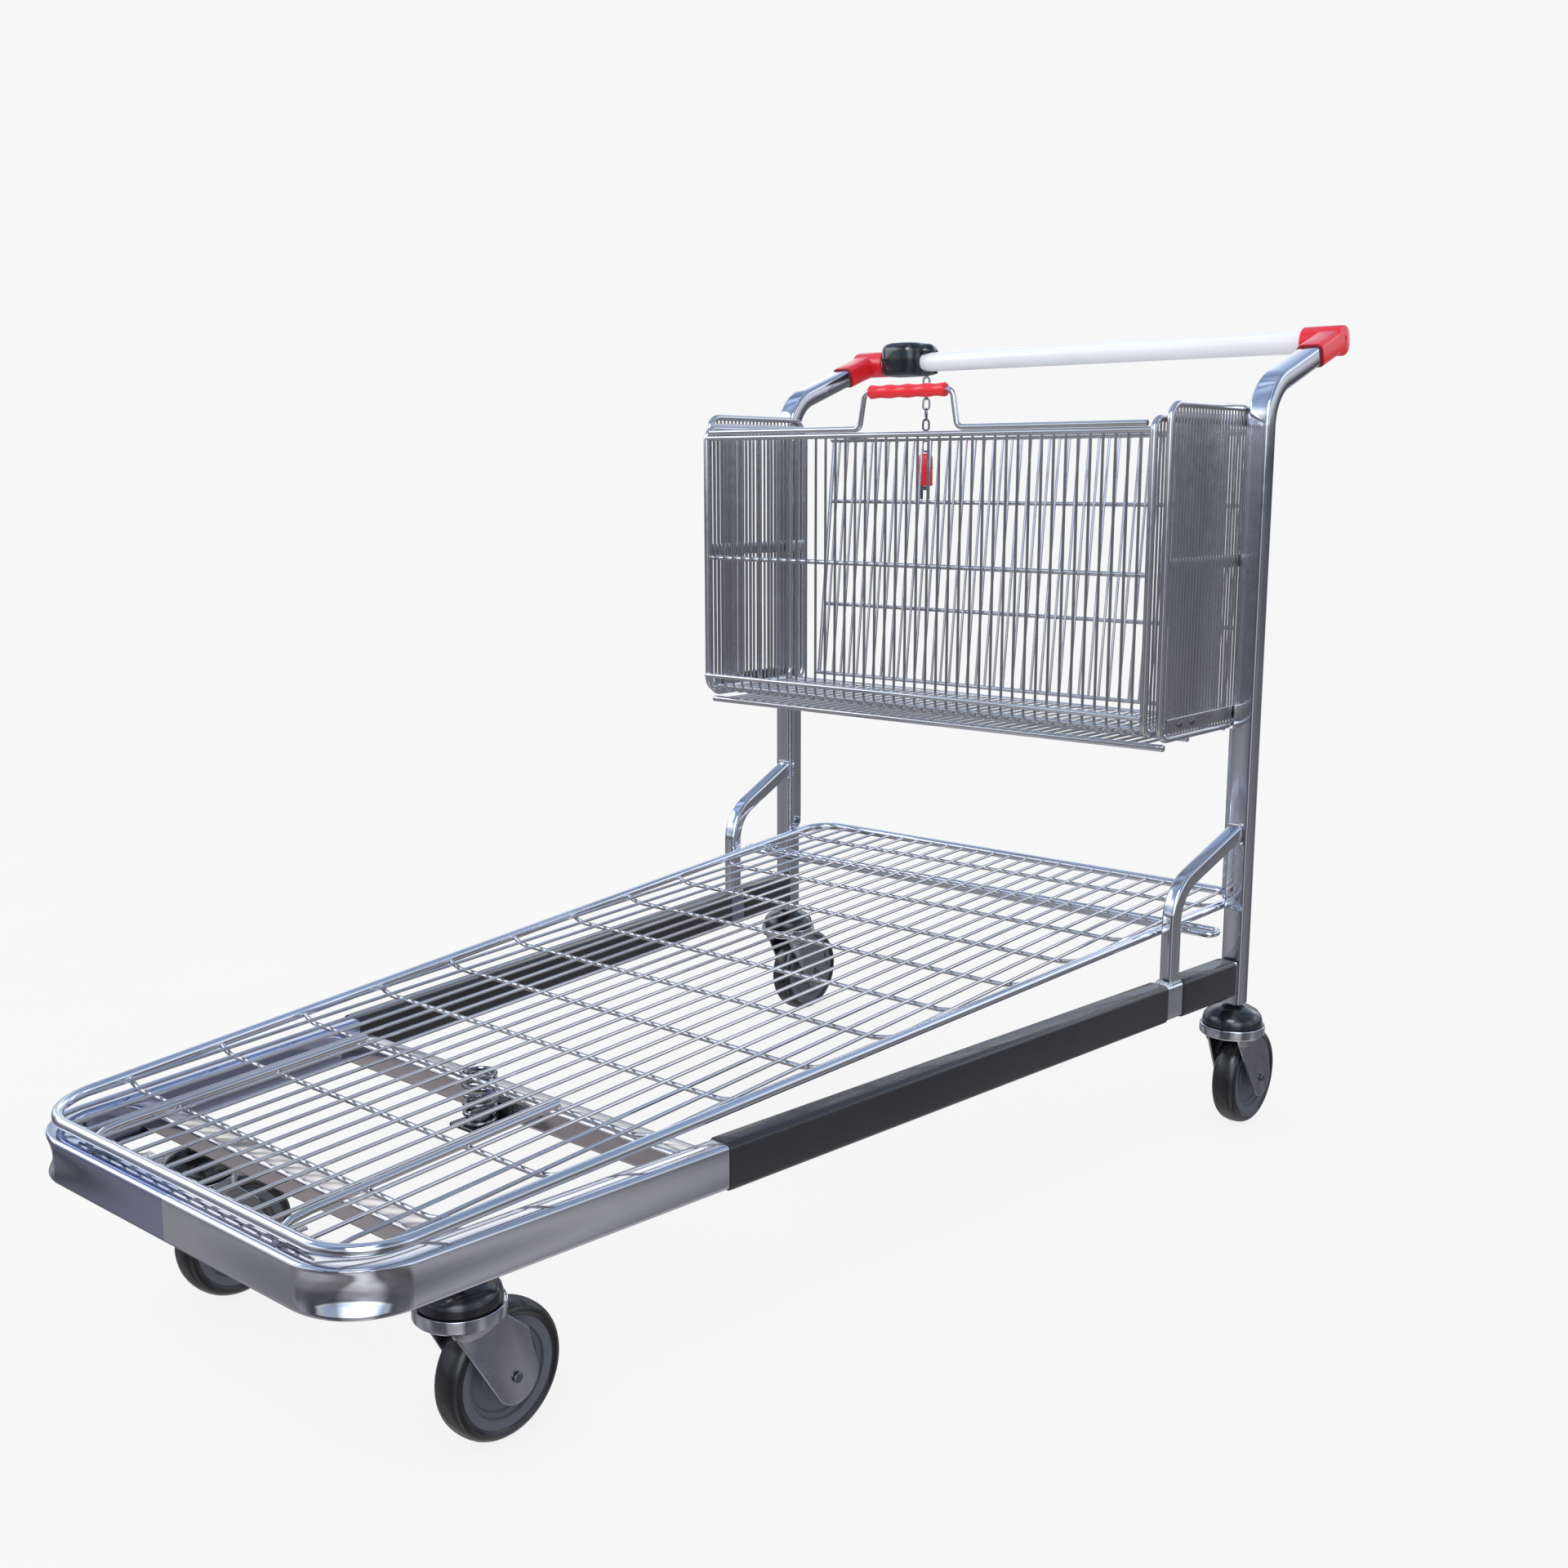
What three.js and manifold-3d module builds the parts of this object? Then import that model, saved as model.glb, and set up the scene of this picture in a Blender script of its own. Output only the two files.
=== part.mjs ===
// A flatbed trolley with a sloping wire platform, a bent tube frame, four swivel castors and a
// wire basket between two uprights. Millimetres, +Z up, +Y towards the handle.
// Inside the "trolley" group Y = 0 is the line of the rear castors; the group itself is moved so
// that the origin lies on the floor under the middle of the outer box.
import * as THREE from "three";
import { mergeVertices } from "three/addons/utils/BufferGeometryUtils.js";
import Module from "manifold-3d";

const wasm = await Module();
wasm.setup();

// ---------------------------------------------------------------- driving dimensions
const GAP = 0.3; // clearance between pieces that touch

// Castors
const wheelRadius = 62.5;
const tyreWidth = 32;
const castorTrail = 39;
const ringRadius = 40.5;
const ringBottom = 128;
const ringTop = 141;
const domeTop = 166;
const rearCastorX = 370;
const frontCastorX = 206;
const frontCastorY = -1111;

// Base frame: a flat tube bent to a U, narrower at the nose
const frameBottom = 182;
const frameHeight = 43;
const frameTop = frameBottom + frameHeight;
const tubeWidth = 26;
const sideSlope = 0.102; // half width gained per millimetre towards the rear
const frameHalfWidth = 381.5; // outer face at Y = 0
const noseY = -1260.5; // front face of the nose
const noseCornerRadius = 72; // outer radius
const frameRearY = -13;

// Sleeves and braces on the side tubes (Y stations measured along the trolley)
const sleeveWall = 1.5;
const frontSleeve = [-866, -166];
const rearSleeve = [-133, -17];
const braceWidth = 18;
const braceDepth = 20;
const braceY = -144.5;
const braceTopZ = 389;
const braceBendZ = 336;
const braceBendRadius = 55;

// Uprights and handle
const uprightX = 370;
const uprightWidth = 29;
const uprightDepth = 24;
const uprightBottom = 168.6;
const handleY = 192;
const handleZ = 993.8;
const coinSlotZ = 998;
const handleRadius = 14;
const uprightElbowZ = 925.5;
const uprightElbowRadius = 60;
const collarRadius = 19;
const collarInner = 334;
const collarOuter = 387;

// Deck: the wire platform, in its own sloping frame with the nose bar on its local x axis
const deckNoseY = -1246.4;
const deckNoseZ = 236;
const deckSlope = 0.045;
const deckLength = 1304; // nose bar to rear bar, centre to centre
const deckNoseHalf = 247.9;
const deckRearHalf = 353;
const rimRadius = 5.5;
const rimCorner = 64;
const longWireRadius = 2.3;
const longWirePitch = 26.8;
const crossWireRadius = 3;
const crossWirePitch = 106.8;
const firstCrossWire = 93;
const rearCrossWires = [1147, 1241];
const hingeRodX = 147;
const hingeRodRadius = 3.6;
const hingeRodEnd = 304;
const supportY = -78;
const supportHalf = 380;

// Basket
const basketLoopX = 351;
const basketWireRadius = 1.7;
const basketRodRadius = 4;
const basketBottom = 523;
const basketTop = 905;
const basketFront = -192;
const basketRear = 10;
const cageX = 340;
const cageFront = -209;
const cageDepth = 178;
const cageTop = 889;
const cageBottom = 531;
const flapHalf = 331;
const flapTop = new THREE.Vector2(54, 878); // Y, Z of the rod that it hangs from
const flapBottom = new THREE.Vector2(20, 536);

// ---------------------------------------------------------------- materials
const paint = (color, roughness, metalness) =>
  new THREE.MeshStandardMaterial({ color, roughness, metalness });
const chrome = paint(0xb4bac6, 0.18, 1);
const steel = paint(0x77787f, 0.4, 0.9);
const darkSteel = paint(0x35373c, 0.45, 0.8);
const blackPlastic = paint(0x232428, 0.42, 0);
const redPlastic = paint(0xd01722, 0.3, 0);
const whiteCoat = paint(0xe9ebf0, 0.3, 0);
const greyPlastic = paint(0x55575f, 0.5, 0);
const rubber = paint(0x17171a, 0.6, 0);

// ---------------------------------------------------------------- shape helpers
const vec = (x, y, z) => new THREE.Vector3(x, y, z);

// Turns a closed geometry into a manifold-3d solid.
function solid(geometry) {
  const bare = geometry.index ? geometry.toNonIndexed() : geometry.clone();
  bare.deleteAttribute("normal");
  bare.deleteAttribute("uv");
  const merged = mergeVertices(bare, 1e-3);
  return new wasm.Manifold(
    new wasm.Mesh({
      numProp: 3,
      vertProperties: merged.attributes.position.array,
      triVerts: new Uint32Array(merged.index.array),
    }),
  );
}

function geometryOf(manifold) {
  const mesh = manifold.getMesh();
  const indexed = new THREE.BufferGeometry();
  indexed.setAttribute("position", new THREE.BufferAttribute(mesh.vertProperties, 3));
  indexed.setIndex(new THREE.BufferAttribute(mesh.triVerts, 1));
  const flat = indexed.toNonIndexed();
  flat.computeVertexNormals();
  return flat;
}

const weld = (geometries) => geometryOf(geometries.map(solid).reduce((a, b) => a.add(b)));

const carve = (geometry, tools) =>
  geometryOf(tools.map(solid).reduce((body, tool) => body.subtract(tool), solid(geometry)));

// A polyline with its inner corners rounded to a radius, each arc in a number of steps.
function rounded(points, radius, steps, closed = false) {
  const count = points.length;
  const route = [];
  points.forEach((corner, i) => {
    if (!closed && (i === 0 || i === count - 1)) {
      route.push(corner.clone());
      return;
    }
    const before = points[(i + count - 1) % count].clone().sub(corner).normalize();
    const after = points[(i + 1) % count].clone().sub(corner).normalize();
    const half = before.angleTo(after) / 2;
    const centre = before.clone().add(after).normalize();
    centre.multiplyScalar(radius / Math.sin(half)).add(corner);
    const start = before.multiplyScalar(radius / Math.tan(half)).add(corner).sub(centre);
    const end = after.multiplyScalar(radius / Math.tan(half)).add(corner).sub(centre);
    const sweep = Math.PI - 2 * half;
    for (let k = 0; k <= steps; k++) {
      const a = (sweep * k) / steps;
      const arm = start.clone().multiplyScalar(Math.sin(sweep - a));
      arm.add(end.clone().multiplyScalar(Math.sin(a))).divideScalar(Math.sin(sweep));
      route.push(arm.add(centre));
    }
  });
  return route;
}

// A curve that passes through the corners of a route, with the bisector as its tangent there.
class Route extends THREE.Curve {
  constructor(points, closed = false) {
    super();
    this.points = points;
    this.closed = closed;
    this.segments = closed ? points.length : points.length - 1;
  }
  at(i) {
    const n = this.points.length;
    return this.points[this.closed ? (i + n) % n : Math.min(Math.max(i, 0), n - 1)];
  }
  getPoint(t, target = new THREE.Vector3()) {
    const place = Math.min(t, 1) * this.segments;
    const i = Math.min(Math.floor(place + 1e-9), this.segments);
    return target.copy(this.at(i)).lerp(this.at(i + 1), Math.max(place - i, 0));
  }
  getPointAt(u, target) {
    return this.getPoint(u, target);
  }
  getTangentAt(u, target = new THREE.Vector3()) {
    const i = Math.round(u * this.segments);
    const here = this.at(i);
    const back = here.clone().sub(this.at(i - 1)).normalize();
    const ahead = this.at(i + 1).clone().sub(here).normalize();
    return target.copy(back.add(ahead)).normalize();
  }
}

// The corners of a regular polygon with flats to the sides.
function polygon(radius, sides, x = 0, y = 0) {
  return Array.from({ length: sides }, (_, k) => {
    const a = ((k + 0.5) / sides) * 2 * Math.PI;
    return new THREE.Vector2(x + radius * Math.cos(a), y + radius * Math.sin(a));
  });
}

// A straight wire from one point to another. A thin wire is a square bar of the same section area.
function wire(from, to, radius, sides = 4) {
  const run = to.clone().sub(from);
  const reach = sides === 4 ? radius * Math.sqrt(Math.PI / 2) : radius;
  const bar = new THREE.CylinderGeometry(
    reach, reach, run.length(), sides, 1, false, Math.PI / sides,
  );
  const turn = new THREE.Quaternion().setFromUnitVectors(vec(0, 1, 0), run.normalize());
  const middle = from.clone().add(to).multiplyScalar(0.5);
  return bar.applyQuaternion(turn).translate(middle.x, middle.y, middle.z);
}

const bentRod = (route, radius, sides) =>
  new THREE.ExtrudeGeometry(new THREE.Shape(polygon(radius, sides)), {
    steps: route.length - 1,
    extrudePath: new Route(route),
    bevelEnabled: false,
  });

const rodLoop = (route, radius, sides) =>
  new THREE.TubeGeometry(new Route(route, true), route.length, radius, sides, true);

function box(from, to) {
  const size = to.clone().sub(from);
  const middle = from.clone().add(to).multiplyScalar(0.5);
  return new THREE.BoxGeometry(size.x, size.y, size.z).translate(middle.x, middle.y, middle.z);
}

// An outline in the Y-Z plane, pushed out along X from x0 to x0 + width.
function slab(shape, x0, width) {
  const sheet = new THREE.ExtrudeGeometry(shape, { depth: width, bevelEnabled: false });
  const axes = new THREE.Matrix4().makeBasis(vec(0, 1, 0), vec(0, 0, 1), vec(1, 0, 0));
  return sheet.applyMatrix4(axes).translate(x0, 0, 0);
}

// The outline of a flat strip of constant width that follows a route in a plane.
function stripOutline(route, width) {
  const path = new Route(route.map((p) => vec(p.x, p.y, 0)));
  const left = [];
  const right = [];
  path.points.forEach((point, i) => {
    const along = path.getTangentAt(i / path.segments);
    const side = new THREE.Vector2(-along.y, along.x).multiplyScalar(width / 2);
    left.push(new THREE.Vector2(point.x + side.x, point.y + side.y));
    right.push(new THREE.Vector2(point.x - side.x, point.y - side.y));
  });
  return new THREE.Shape([...left, ...right.reverse()]);
}

function turned(profile, segments) {
  const points = profile.map(([r, z]) => new THREE.Vector2(r, z));
  return new THREE.LatheGeometry([...points, points[0]], segments).rotateX(Math.PI / 2);
}

const mirrored = (geometry) => {
  const copy = geometry.index ? geometry.toNonIndexed() : geometry.clone();
  const p = copy.attributes.position;
  for (let i = 0; i < p.count; i += 3) {
    const [a, b, c] = [0, 1, 2].map((k) => vec(-p.getX(i + k), p.getY(i + k), p.getZ(i + k)));
    [a, c, b].forEach((corner, k) => p.setXYZ(i + k, corner.x, corner.y, corner.z));
  }
  return copy;
};

function add(group, name, geometry, material) {
  geometry.computeVertexNormals();
  const mesh = new THREE.Mesh(geometry, material);
  mesh.name = name;
  group.add(mesh);
  return mesh;
}

// Adds a piece on the +X side, the left of the person who pushes, and its mirror image.
function addPair(group, name, geometry, material) {
  add(group, `${name}_right`, mirrored(geometry), material);
  add(group, `${name}_left`, geometry, material);
}

const trolley = new THREE.Group();

// ---------------------------------------------------------------- castors
function castorDome(stemTop) {
  const pinRadius = 5.6;
  const dome = turned(
    [
      [0, 119], [9, 119], [9, 126.5], [pinRadius, 126.5], [pinRadius, 134], [36, 134],
      [37.5, 144], [29, 158], [12, domeTop], [8, stemTop], [0, stemTop],
    ],
    16,
  );
  return dome;
}

function castorFork() {
  const plateThickness = 3;
  const plateInner = 19;
  const eyeRadius = 24;
  const ring = turned(
    [[6.2, ringBottom], [ringRadius, ringBottom], [ringRadius, ringTop],
      [38.6, ringTop], [38.6, ringBottom + 4], [6.2, ringBottom + 4]],
    16,
  );
  const outline = new THREE.Shape();
  outline.moveTo(-30, ringBottom + 1);
  outline.lineTo(32, ringBottom + 1);
  outline.lineTo(castorTrail + 15, 104);
  for (let k = 0; k <= 6; k++) {
    const a = THREE.MathUtils.degToRad(20 - (170 * k) / 6);
    const arm = new THREE.Vector2(Math.cos(a), Math.sin(a)).multiplyScalar(eyeRadius);
    outline.lineTo(castorTrail + arm.x, wheelRadius + arm.y);
  }
  outline.closePath();
  outline.holes.push(new THREE.Path(polygon(4.8, 6, castorTrail, wheelRadius)));
  const plate = (x0) => slab(outline, x0, plateThickness);
  return weld([ring, plate(plateInner), plate(-plateInner - plateThickness)]);
}

function castorAxle() {
  const headStart = 22.4;
  const headEnd = 25;
  const half = [[0, headEnd], [7, headEnd], [7, headStart], [4, headStart]];
  const profile = [...half, ...half.map(([r, z]) => [r, -z]).reverse()];
  return turned(profile.reverse(), 8).rotateY(Math.PI / 2);
}

function castorWheel() {
  const profile = [
    [4.4, -18], [12, -18], [14, -6], [43, -6], [50, -14],
    [50, 14], [43, 6], [14, 6], [12, 18], [4.4, 18],
  ];
  return turned(profile, 20).rotateY(Math.PI / 2);
}

function castorTyre() {
  const half = tyreWidth / 2;
  const profile = [
    [50.3, -half + 2], [54, -half], [59.5, -half + 3.5], [wheelRadius, -half + 10],
    [wheelRadius, half - 10], [59.5, half - 3.5], [54, half], [50.3, half - 2],
  ];
  return turned(profile, 20).rotateY(Math.PI / 2);
}

function addCastor(corner, x, y, stemTop) {
  const castor = new THREE.Group();
  castor.position.set(x, y, 0);
  const hub = new THREE.Group();
  hub.position.set(0, castorTrail, wheelRadius);
  castor.add(hub);
  trolley.add(castor);
  add(castor, `castor_dome_${corner}`, castorDome(stemTop), blackPlastic);
  add(castor, `castor_fork_${corner}`, castorFork(), steel);
  add(hub, `castor_axle_${corner}`, castorAxle(), steel);
  add(hub, `castor_wheel_${corner}`, castorWheel(), greyPlastic);
  add(hub, `castor_tyre_${corner}`, castorTyre(), rubber);
}

const mountPlateZ = 186;
addCastor("front_left", frontCastorX, frontCastorY, mountPlateZ - GAP);
addCastor("front_right", -frontCastorX, frontCastorY, mountPlateZ - GAP);
addCastor("rear_left", rearCastorX, 0, uprightBottom - GAP);
addCastor("rear_right", -rearCastorX, 0, uprightBottom - GAP);

// ---------------------------------------------------------------- base frame
const sideAngle = Math.atan(sideSlope);
const tubeAcross = tubeWidth / Math.cos(sideAngle); // tube width measured along X
const innerHalf = (y) => frameHalfWidth - tubeAcross + sideSlope * y;
const centreHalf = (y) => frameHalfWidth - tubeAcross / 2 + sideSlope * y;

const noseCentreY = noseY + tubeWidth / 2;
const frameRoute = rounded(
  [
    vec(centreHalf(frameRearY), frameRearY, 0),
    vec(centreHalf(noseCentreY), noseCentreY, 0),
    vec(-centreHalf(noseCentreY), noseCentreY, 0),
    vec(-centreHalf(frameRearY), frameRearY, 0),
  ],
  noseCornerRadius - tubeWidth / 2,
  7,
);
const frameBar = new THREE.ExtrudeGeometry(stripOutline(frameRoute, tubeWidth), {
  depth: frameHeight,
  bevelEnabled: false,
}).translate(0, 0, frameBottom);
// The ends of the U are cut square to the trolley, just in front of the uprights.
const endCut = box(vec(-400, -uprightDepth / 2 - GAP, 170), vec(400, 20, 230));
add(trolley, "base_frame", carve(frameBar, [endCut]), chrome);

const memberDepth = 30;
const frontMemberY = -1147;
const frontMember = box(
  vec(-innerHalf(frontMemberY) + GAP, frontMemberY, 190),
  vec(innerHalf(frontMemberY) - GAP, frontMemberY + memberDepth, 212),
);
const castorPlate = (side) =>
  box(
    vec(side * 199.5 - 20, -1140, mountPlateZ),
    vec(side * 199.5 + 20, -1086, 190.5),
  );
add(trolley, "cross_member_front", weld([frontMember, castorPlate(1), castorPlate(-1)]), chrome);

const rearMemberY = -894;
const rearMember = box(
  vec(-innerHalf(rearMemberY) + GAP, rearMemberY, 186),
  vec(innerHalf(rearMemberY) - GAP, rearMemberY + memberDepth, 214),
);
add(trolley, "cross_member_rear", rearMember, chrome);

// A frame on the centre line of the right side tube: local y runs along the tube.
const sideFrame = new THREE.Matrix4()
  .makeRotationZ(-sideAngle)
  .setPosition(centreHalf(0), 0, 0);
const alongTube = (y) => y / Math.cos(sideAngle);

function sleeve([front, rear]) {
  const bore = tubeWidth / 2 + GAP;
  const skin = bore + sleeveWall;
  const outer = box(
    vec(-skin, alongTube(front), frameBottom - GAP - sleeveWall),
    vec(skin, alongTube(rear), frameTop + GAP + sleeveWall),
  );
  const inner = box(
    vec(-bore, alongTube(front) - 5, frameBottom - GAP),
    vec(bore, alongTube(rear) + 5, frameTop + GAP),
  );
  return carve(outer, [inner]).applyMatrix4(sideFrame);
}
addPair(trolley, "sleeve_front", sleeve(frontSleeve), blackPlastic);
addPair(trolley, "sleeve_rear", sleeve(rearSleeve), blackPlastic);

// ---------------------------------------------------------------- braces
const braceRoute = rounded(
  [
    vec(alongTube(braceY), frameTop + GAP, 0),
    vec(alongTube(braceY), braceBendZ, 0),
    vec(20, braceTopZ + 13, 0),
  ],
  braceBendRadius,
  6,
);
const braceBlank = slab(stripOutline(braceRoute, braceDepth), -braceWidth / 2, braceWidth);
braceBlank.applyMatrix4(sideFrame);
const uprightFace = box(vec(300, -uprightDepth / 2 - GAP, 300), vec(420, 60, 460));
addPair(trolley, "brace", carve(braceBlank, [uprightFace]), chrome);

// ---------------------------------------------------------------- uprights and handle
const slantRun = handleY;
const slantRise = handleZ - uprightElbowZ;
const slantAngle = Math.atan2(slantRise, slantRun);
const slantLength = Math.hypot(slantRun, slantRise);
const tubeEnd = 27; // where the slanted tube stops, short of the handle axis
const endShare = (slantLength - tubeEnd) / slantLength;
const uprightRoute = rounded(
  [
    vec(0, uprightBottom, 0),
    vec(0, uprightElbowZ, 0),
    vec(slantRun * endShare, uprightElbowZ + slantRise * endShare, 0),
  ],
  uprightElbowRadius,
  8,
);
const upright = slab(
  stripOutline(uprightRoute, uprightDepth), uprightX - uprightWidth / 2, uprightWidth,
);
addPair(trolley, "upright", upright, chrome);

// A flat bar with a round lower end on the inner face of each upright.
const stripThickness = 4;
const stripHalf = 8;
const stripEnds = [308, basketBottom - basketRodRadius - 1];
const stripShape = new THREE.Shape();
stripShape.moveTo(-stripHalf, stripEnds[1]);
stripShape.lineTo(-stripHalf, stripEnds[0]);
for (let k = 1; k <= 6; k++) {
  const a = Math.PI + (Math.PI * k) / 6;
  stripShape.lineTo(stripHalf * Math.cos(a), stripEnds[0] + stripHalf * Math.sin(a));
}
stripShape.lineTo(stripHalf, stripEnds[1]);
stripShape.closePath();
const stripOuter = uprightX - uprightWidth / 2 - GAP;
addPair(
  trolley, "upright_strip", slab(stripShape, stripOuter - stripThickness, stripThickness), chrome,
);

// Handle tube across both connectors, with the coin lock near the -X end.
const handleEnd = 350;
const handle = wire(
  vec(-handleEnd, handleY, handleZ), vec(handleEnd, handleY, handleZ), handleRadius, 14,
);
add(trolley, "handle_tube", handle, whiteCoat);

// A frame on the slanted tube: local y runs up the slant and ends on the handle axis.
const slantFrame = new THREE.Matrix4()
  .makeRotationX(slantAngle)
  .setPosition(uprightX, handleY, handleZ);
function connector() {
  const axisEnd = (x) => vec(x, handleY, handleZ);
  const collar = wire(axisEnd(collarInner), axisEnd(collarOuter), collarRadius, 16);
  const half = uprightWidth / 2;
  const depth = uprightDepth / 2;
  const wall = 3;
  const socket = box(vec(-half - wall, -66, -depth - wall), vec(half + wall, 0, depth + wall));
  const pocket = box(
    vec(-half - GAP, -70, -depth - GAP), vec(half + GAP, -tubeEnd + GAP, depth + GAP),
  );
  const bore = wire(
    axisEnd(collarInner - 5), axisEnd(handleEnd + GAP), handleRadius + GAP + 0.1, 14,
  );
  const screwSeat = wire(axisEnd(collarOuter - 3), axisEnd(collarOuter + 1), 6, 8);
  const body = weld([collar, socket.applyMatrix4(slantFrame)]);
  return carve(body, [bore, pocket.applyMatrix4(slantFrame), screwSeat]);
}
addPair(trolley, "handle_connector", connector(), redPlastic);
const screwHead = wire(
  vec(collarOuter - 2.6, handleY, handleZ), vec(collarOuter - 0.4, handleY, handleZ), 5, 8,
);
addPair(trolley, "connector_screw", screwHead, darkSteel);

// ---------------------------------------------------------------- coin lock, chain and key
const lockEnds = [-331, -244];
const lockFrontEnd = -261.5;
const lockFace = 158;
const lockBack = 219;
const lockZ = [974, 1024];
const lockTaper = 5;
function coinLock() {
  const plan = new THREE.Shape();
  plan.moveTo(lockEnds[0], lockBack);
  plan.lineTo(lockEnds[0], lockFace + 14);
  plan.quadraticCurveTo(lockEnds[0], lockFace, lockEnds[0] + 16, lockFace);
  plan.lineTo(lockFrontEnd - 22, lockFace);
  plan.quadraticCurveTo(lockFrontEnd, lockFace, lockFrontEnd, handleY + 2);
  plan.lineTo(lockEnds[1], handleY + 4);
  plan.quadraticCurveTo(lockEnds[1], lockBack - 8, lockEnds[1] - 14, lockBack);
  plan.closePath();
  const body = new THREE.ExtrudeGeometry(plan, {
    depth: lockZ[1] - lockZ[0] - 2 * lockTaper,
    bevelThickness: lockTaper,
    bevelSize: lockTaper,
    bevelOffset: -lockTaper,
    bevelSegments: 1,
    curveSegments: 4,
  }).translate(0, 0, lockZ[0] + lockTaper);
  const bore = wire(
    vec(-345, handleY, handleZ), vec(-225, handleY, handleZ), handleRadius + GAP + 0.1, 14,
  );
  const slot = box(vec(-340, 140, coinSlotZ - 1.4), vec(-306, lockFace + 16, coinSlotZ + 1.4));
  return carve(body, [bore, slot]);
}
add(trolley, "coin_lock", coinLock(), blackPlastic);

const chainX = -262.7;
const chainY = 197;
const linkPitch = 15.6;
const linkCount = 7;
const chainTop = lockZ[0] - GAP;
const linkWire = 1.5;
const linkHalf = 9.8;
function chainLink(index) {
  const reach = [
    vec(4.2, 0, linkHalf - linkWire), vec(-4.2, 0, linkHalf - linkWire),
    vec(-4.2, 0, -linkHalf + linkWire), vec(4.2, 0, -linkHalf + linkWire),
  ];
  const link = rodLoop(rounded(reach, 4, 1, true), linkWire, 4);
  link.rotateZ((index % 2) * (Math.PI / 2) + Math.PI / 4);
  return link.translate(chainX, chainY, chainTop - linkHalf - index * linkPitch);
}
add(
  trolley, "lock_chain",
  weld(Array.from({ length: linkCount }, (_, index) => chainLink(index))), darkSteel,
);

const chainEnd = chainTop - 2 * linkHalf - (linkCount - 1) * linkPitch;
const tagTop = chainEnd - GAP;
const tagHeight = 50;
const tagHalf = vec(11, 7, 0);
const tag = box(
  vec(chainX - tagHalf.x, chainY - tagHalf.y, tagTop - tagHeight),
  vec(chainX + tagHalf.x, chainY + tagHalf.y, tagTop),
);
const ribs = Array.from({ length: 4 }, (_, k) => {
  const z = tagTop - 10 - k * 10;
  return box(
    vec(chainX - tagHalf.x - 1, chainY - tagHalf.y - 1, z - 2),
    vec(chainX + tagHalf.x + 1, chainY + tagHalf.y + 1, z + 2),
  );
});
add(trolley, "key_tag", weld([tag, ...ribs]), redPlastic);
const keyTop = tagTop - tagHeight - GAP;
const keyPlate = box(vec(chainX - 8, chainY - 2, keyTop - 20), vec(chainX + 8, chainY + 2, keyTop));
const keySlot = box(vec(chainX - 4, chainY - 5, keyTop - 25), vec(chainX + 4, chainY + 5, keyTop - 6));
add(trolley, "lock_key", carve(keyPlate, [keySlot]), darkSteel);

// ---------------------------------------------------------------- deck
const deckPitch = Math.atan(deckSlope);
const deck = new THREE.Group();
deck.position.set(0, deckNoseY, deckNoseZ);
deck.rotation.x = deckPitch;
trolley.add(deck);

const deckHalf = (y) => deckNoseHalf + ((deckRearHalf - deckNoseHalf) * y) / deckLength;
const wireFloat = -rimRadius + 0.5;

// Long wires start on the rim: on the nose bar, in its round corner, or on the slanting side.
function longWireStart(distance) {
  const intoCorner = Math.max(distance - deckNoseHalf + 0.92 * rimCorner, 0);
  const corner = rimCorner - Math.sqrt(Math.max(rimCorner ** 2 - intoCorner ** 2, 0));
  const slope = (deckRearHalf - deckNoseHalf) / deckLength;
  return Math.max((distance - deckNoseHalf + 2) / slope, corner);
}

function deckGrid() {
  const rim = rodLoop(
    rounded(
      [
        vec(deckNoseHalf, 0, 0), vec(deckRearHalf, deckLength, 0),
        vec(-deckRearHalf, deckLength, 0), vec(-deckNoseHalf, 0, 0),
      ],
      rimCorner, 5, true,
    ),
    rimRadius, 6,
  );
  const parts = [rim];
  const crossLevel = wireFloat;
  const longLevel = crossLevel + crossWireRadius + GAP + longWireRadius;
  const evenCrossWires = Array.from({ length: 10 }, (_, k) => firstCrossWire + k * crossWirePitch);
  for (const y of [...evenCrossWires, ...rearCrossWires]) {
    const reach = deckHalf(y);
    parts.push(wire(vec(-reach, y, crossLevel), vec(reach, y, crossLevel), crossWireRadius));
  }
  for (let k = -12; k <= 12; k++) {
    const x = k * longWirePitch;
    const start = longWireStart(Math.abs(x));
    parts.push(wire(vec(x, start, longLevel), vec(x, deckLength, longLevel), longWireRadius));
  }
  const rodLevel = crossLevel + crossWireRadius + GAP + hingeRodRadius;
  for (const side of [-1, 1]) {
    const x = side * hingeRodX;
    parts.push(wire(vec(x, 0, rodLevel), vec(x, hingeRodEnd, rodLevel), hingeRodRadius, 6));
  }
  return weld(parts);
}
add(deck, "deck_grid", deckGrid(), chrome);

const supportRod = 4;
const supportRun = supportY - deckNoseY;
const supportLevel = wireFloat - crossWireRadius - GAP - supportRod;
const supportLoop = rodLoop(
  rounded(
    [
      vec(supportHalf, supportRun - 10.5, supportLevel),
      vec(supportHalf, supportRun + 10.5, supportLevel),
      vec(-supportHalf, supportRun + 10.5, supportLevel),
      vec(-supportHalf, supportRun - 10.5, supportLevel),
    ],
    10, 4, true,
  ),
  supportRod, 6,
);
add(deck, "deck_support_loop", supportLoop, chrome);

// Hinge lugs: a tab behind the nose tube with a bolt through it.
const lugX = 112;
const lugTop = 214;
const lugBoltY = noseY + tubeWidth + 18;
const lug = weld([
  box(
    vec(lugX - 13, noseY + tubeWidth + GAP, lugTop - 3),
    vec(lugX + 13, noseY + tubeWidth + 34, lugTop),
  ),
  wire(vec(lugX, lugBoltY, lugTop - 8), vec(lugX, lugBoltY, lugTop + 4), 6, 8),
]);
addPair(trolley, "hinge_lug", lug, chrome);

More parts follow.
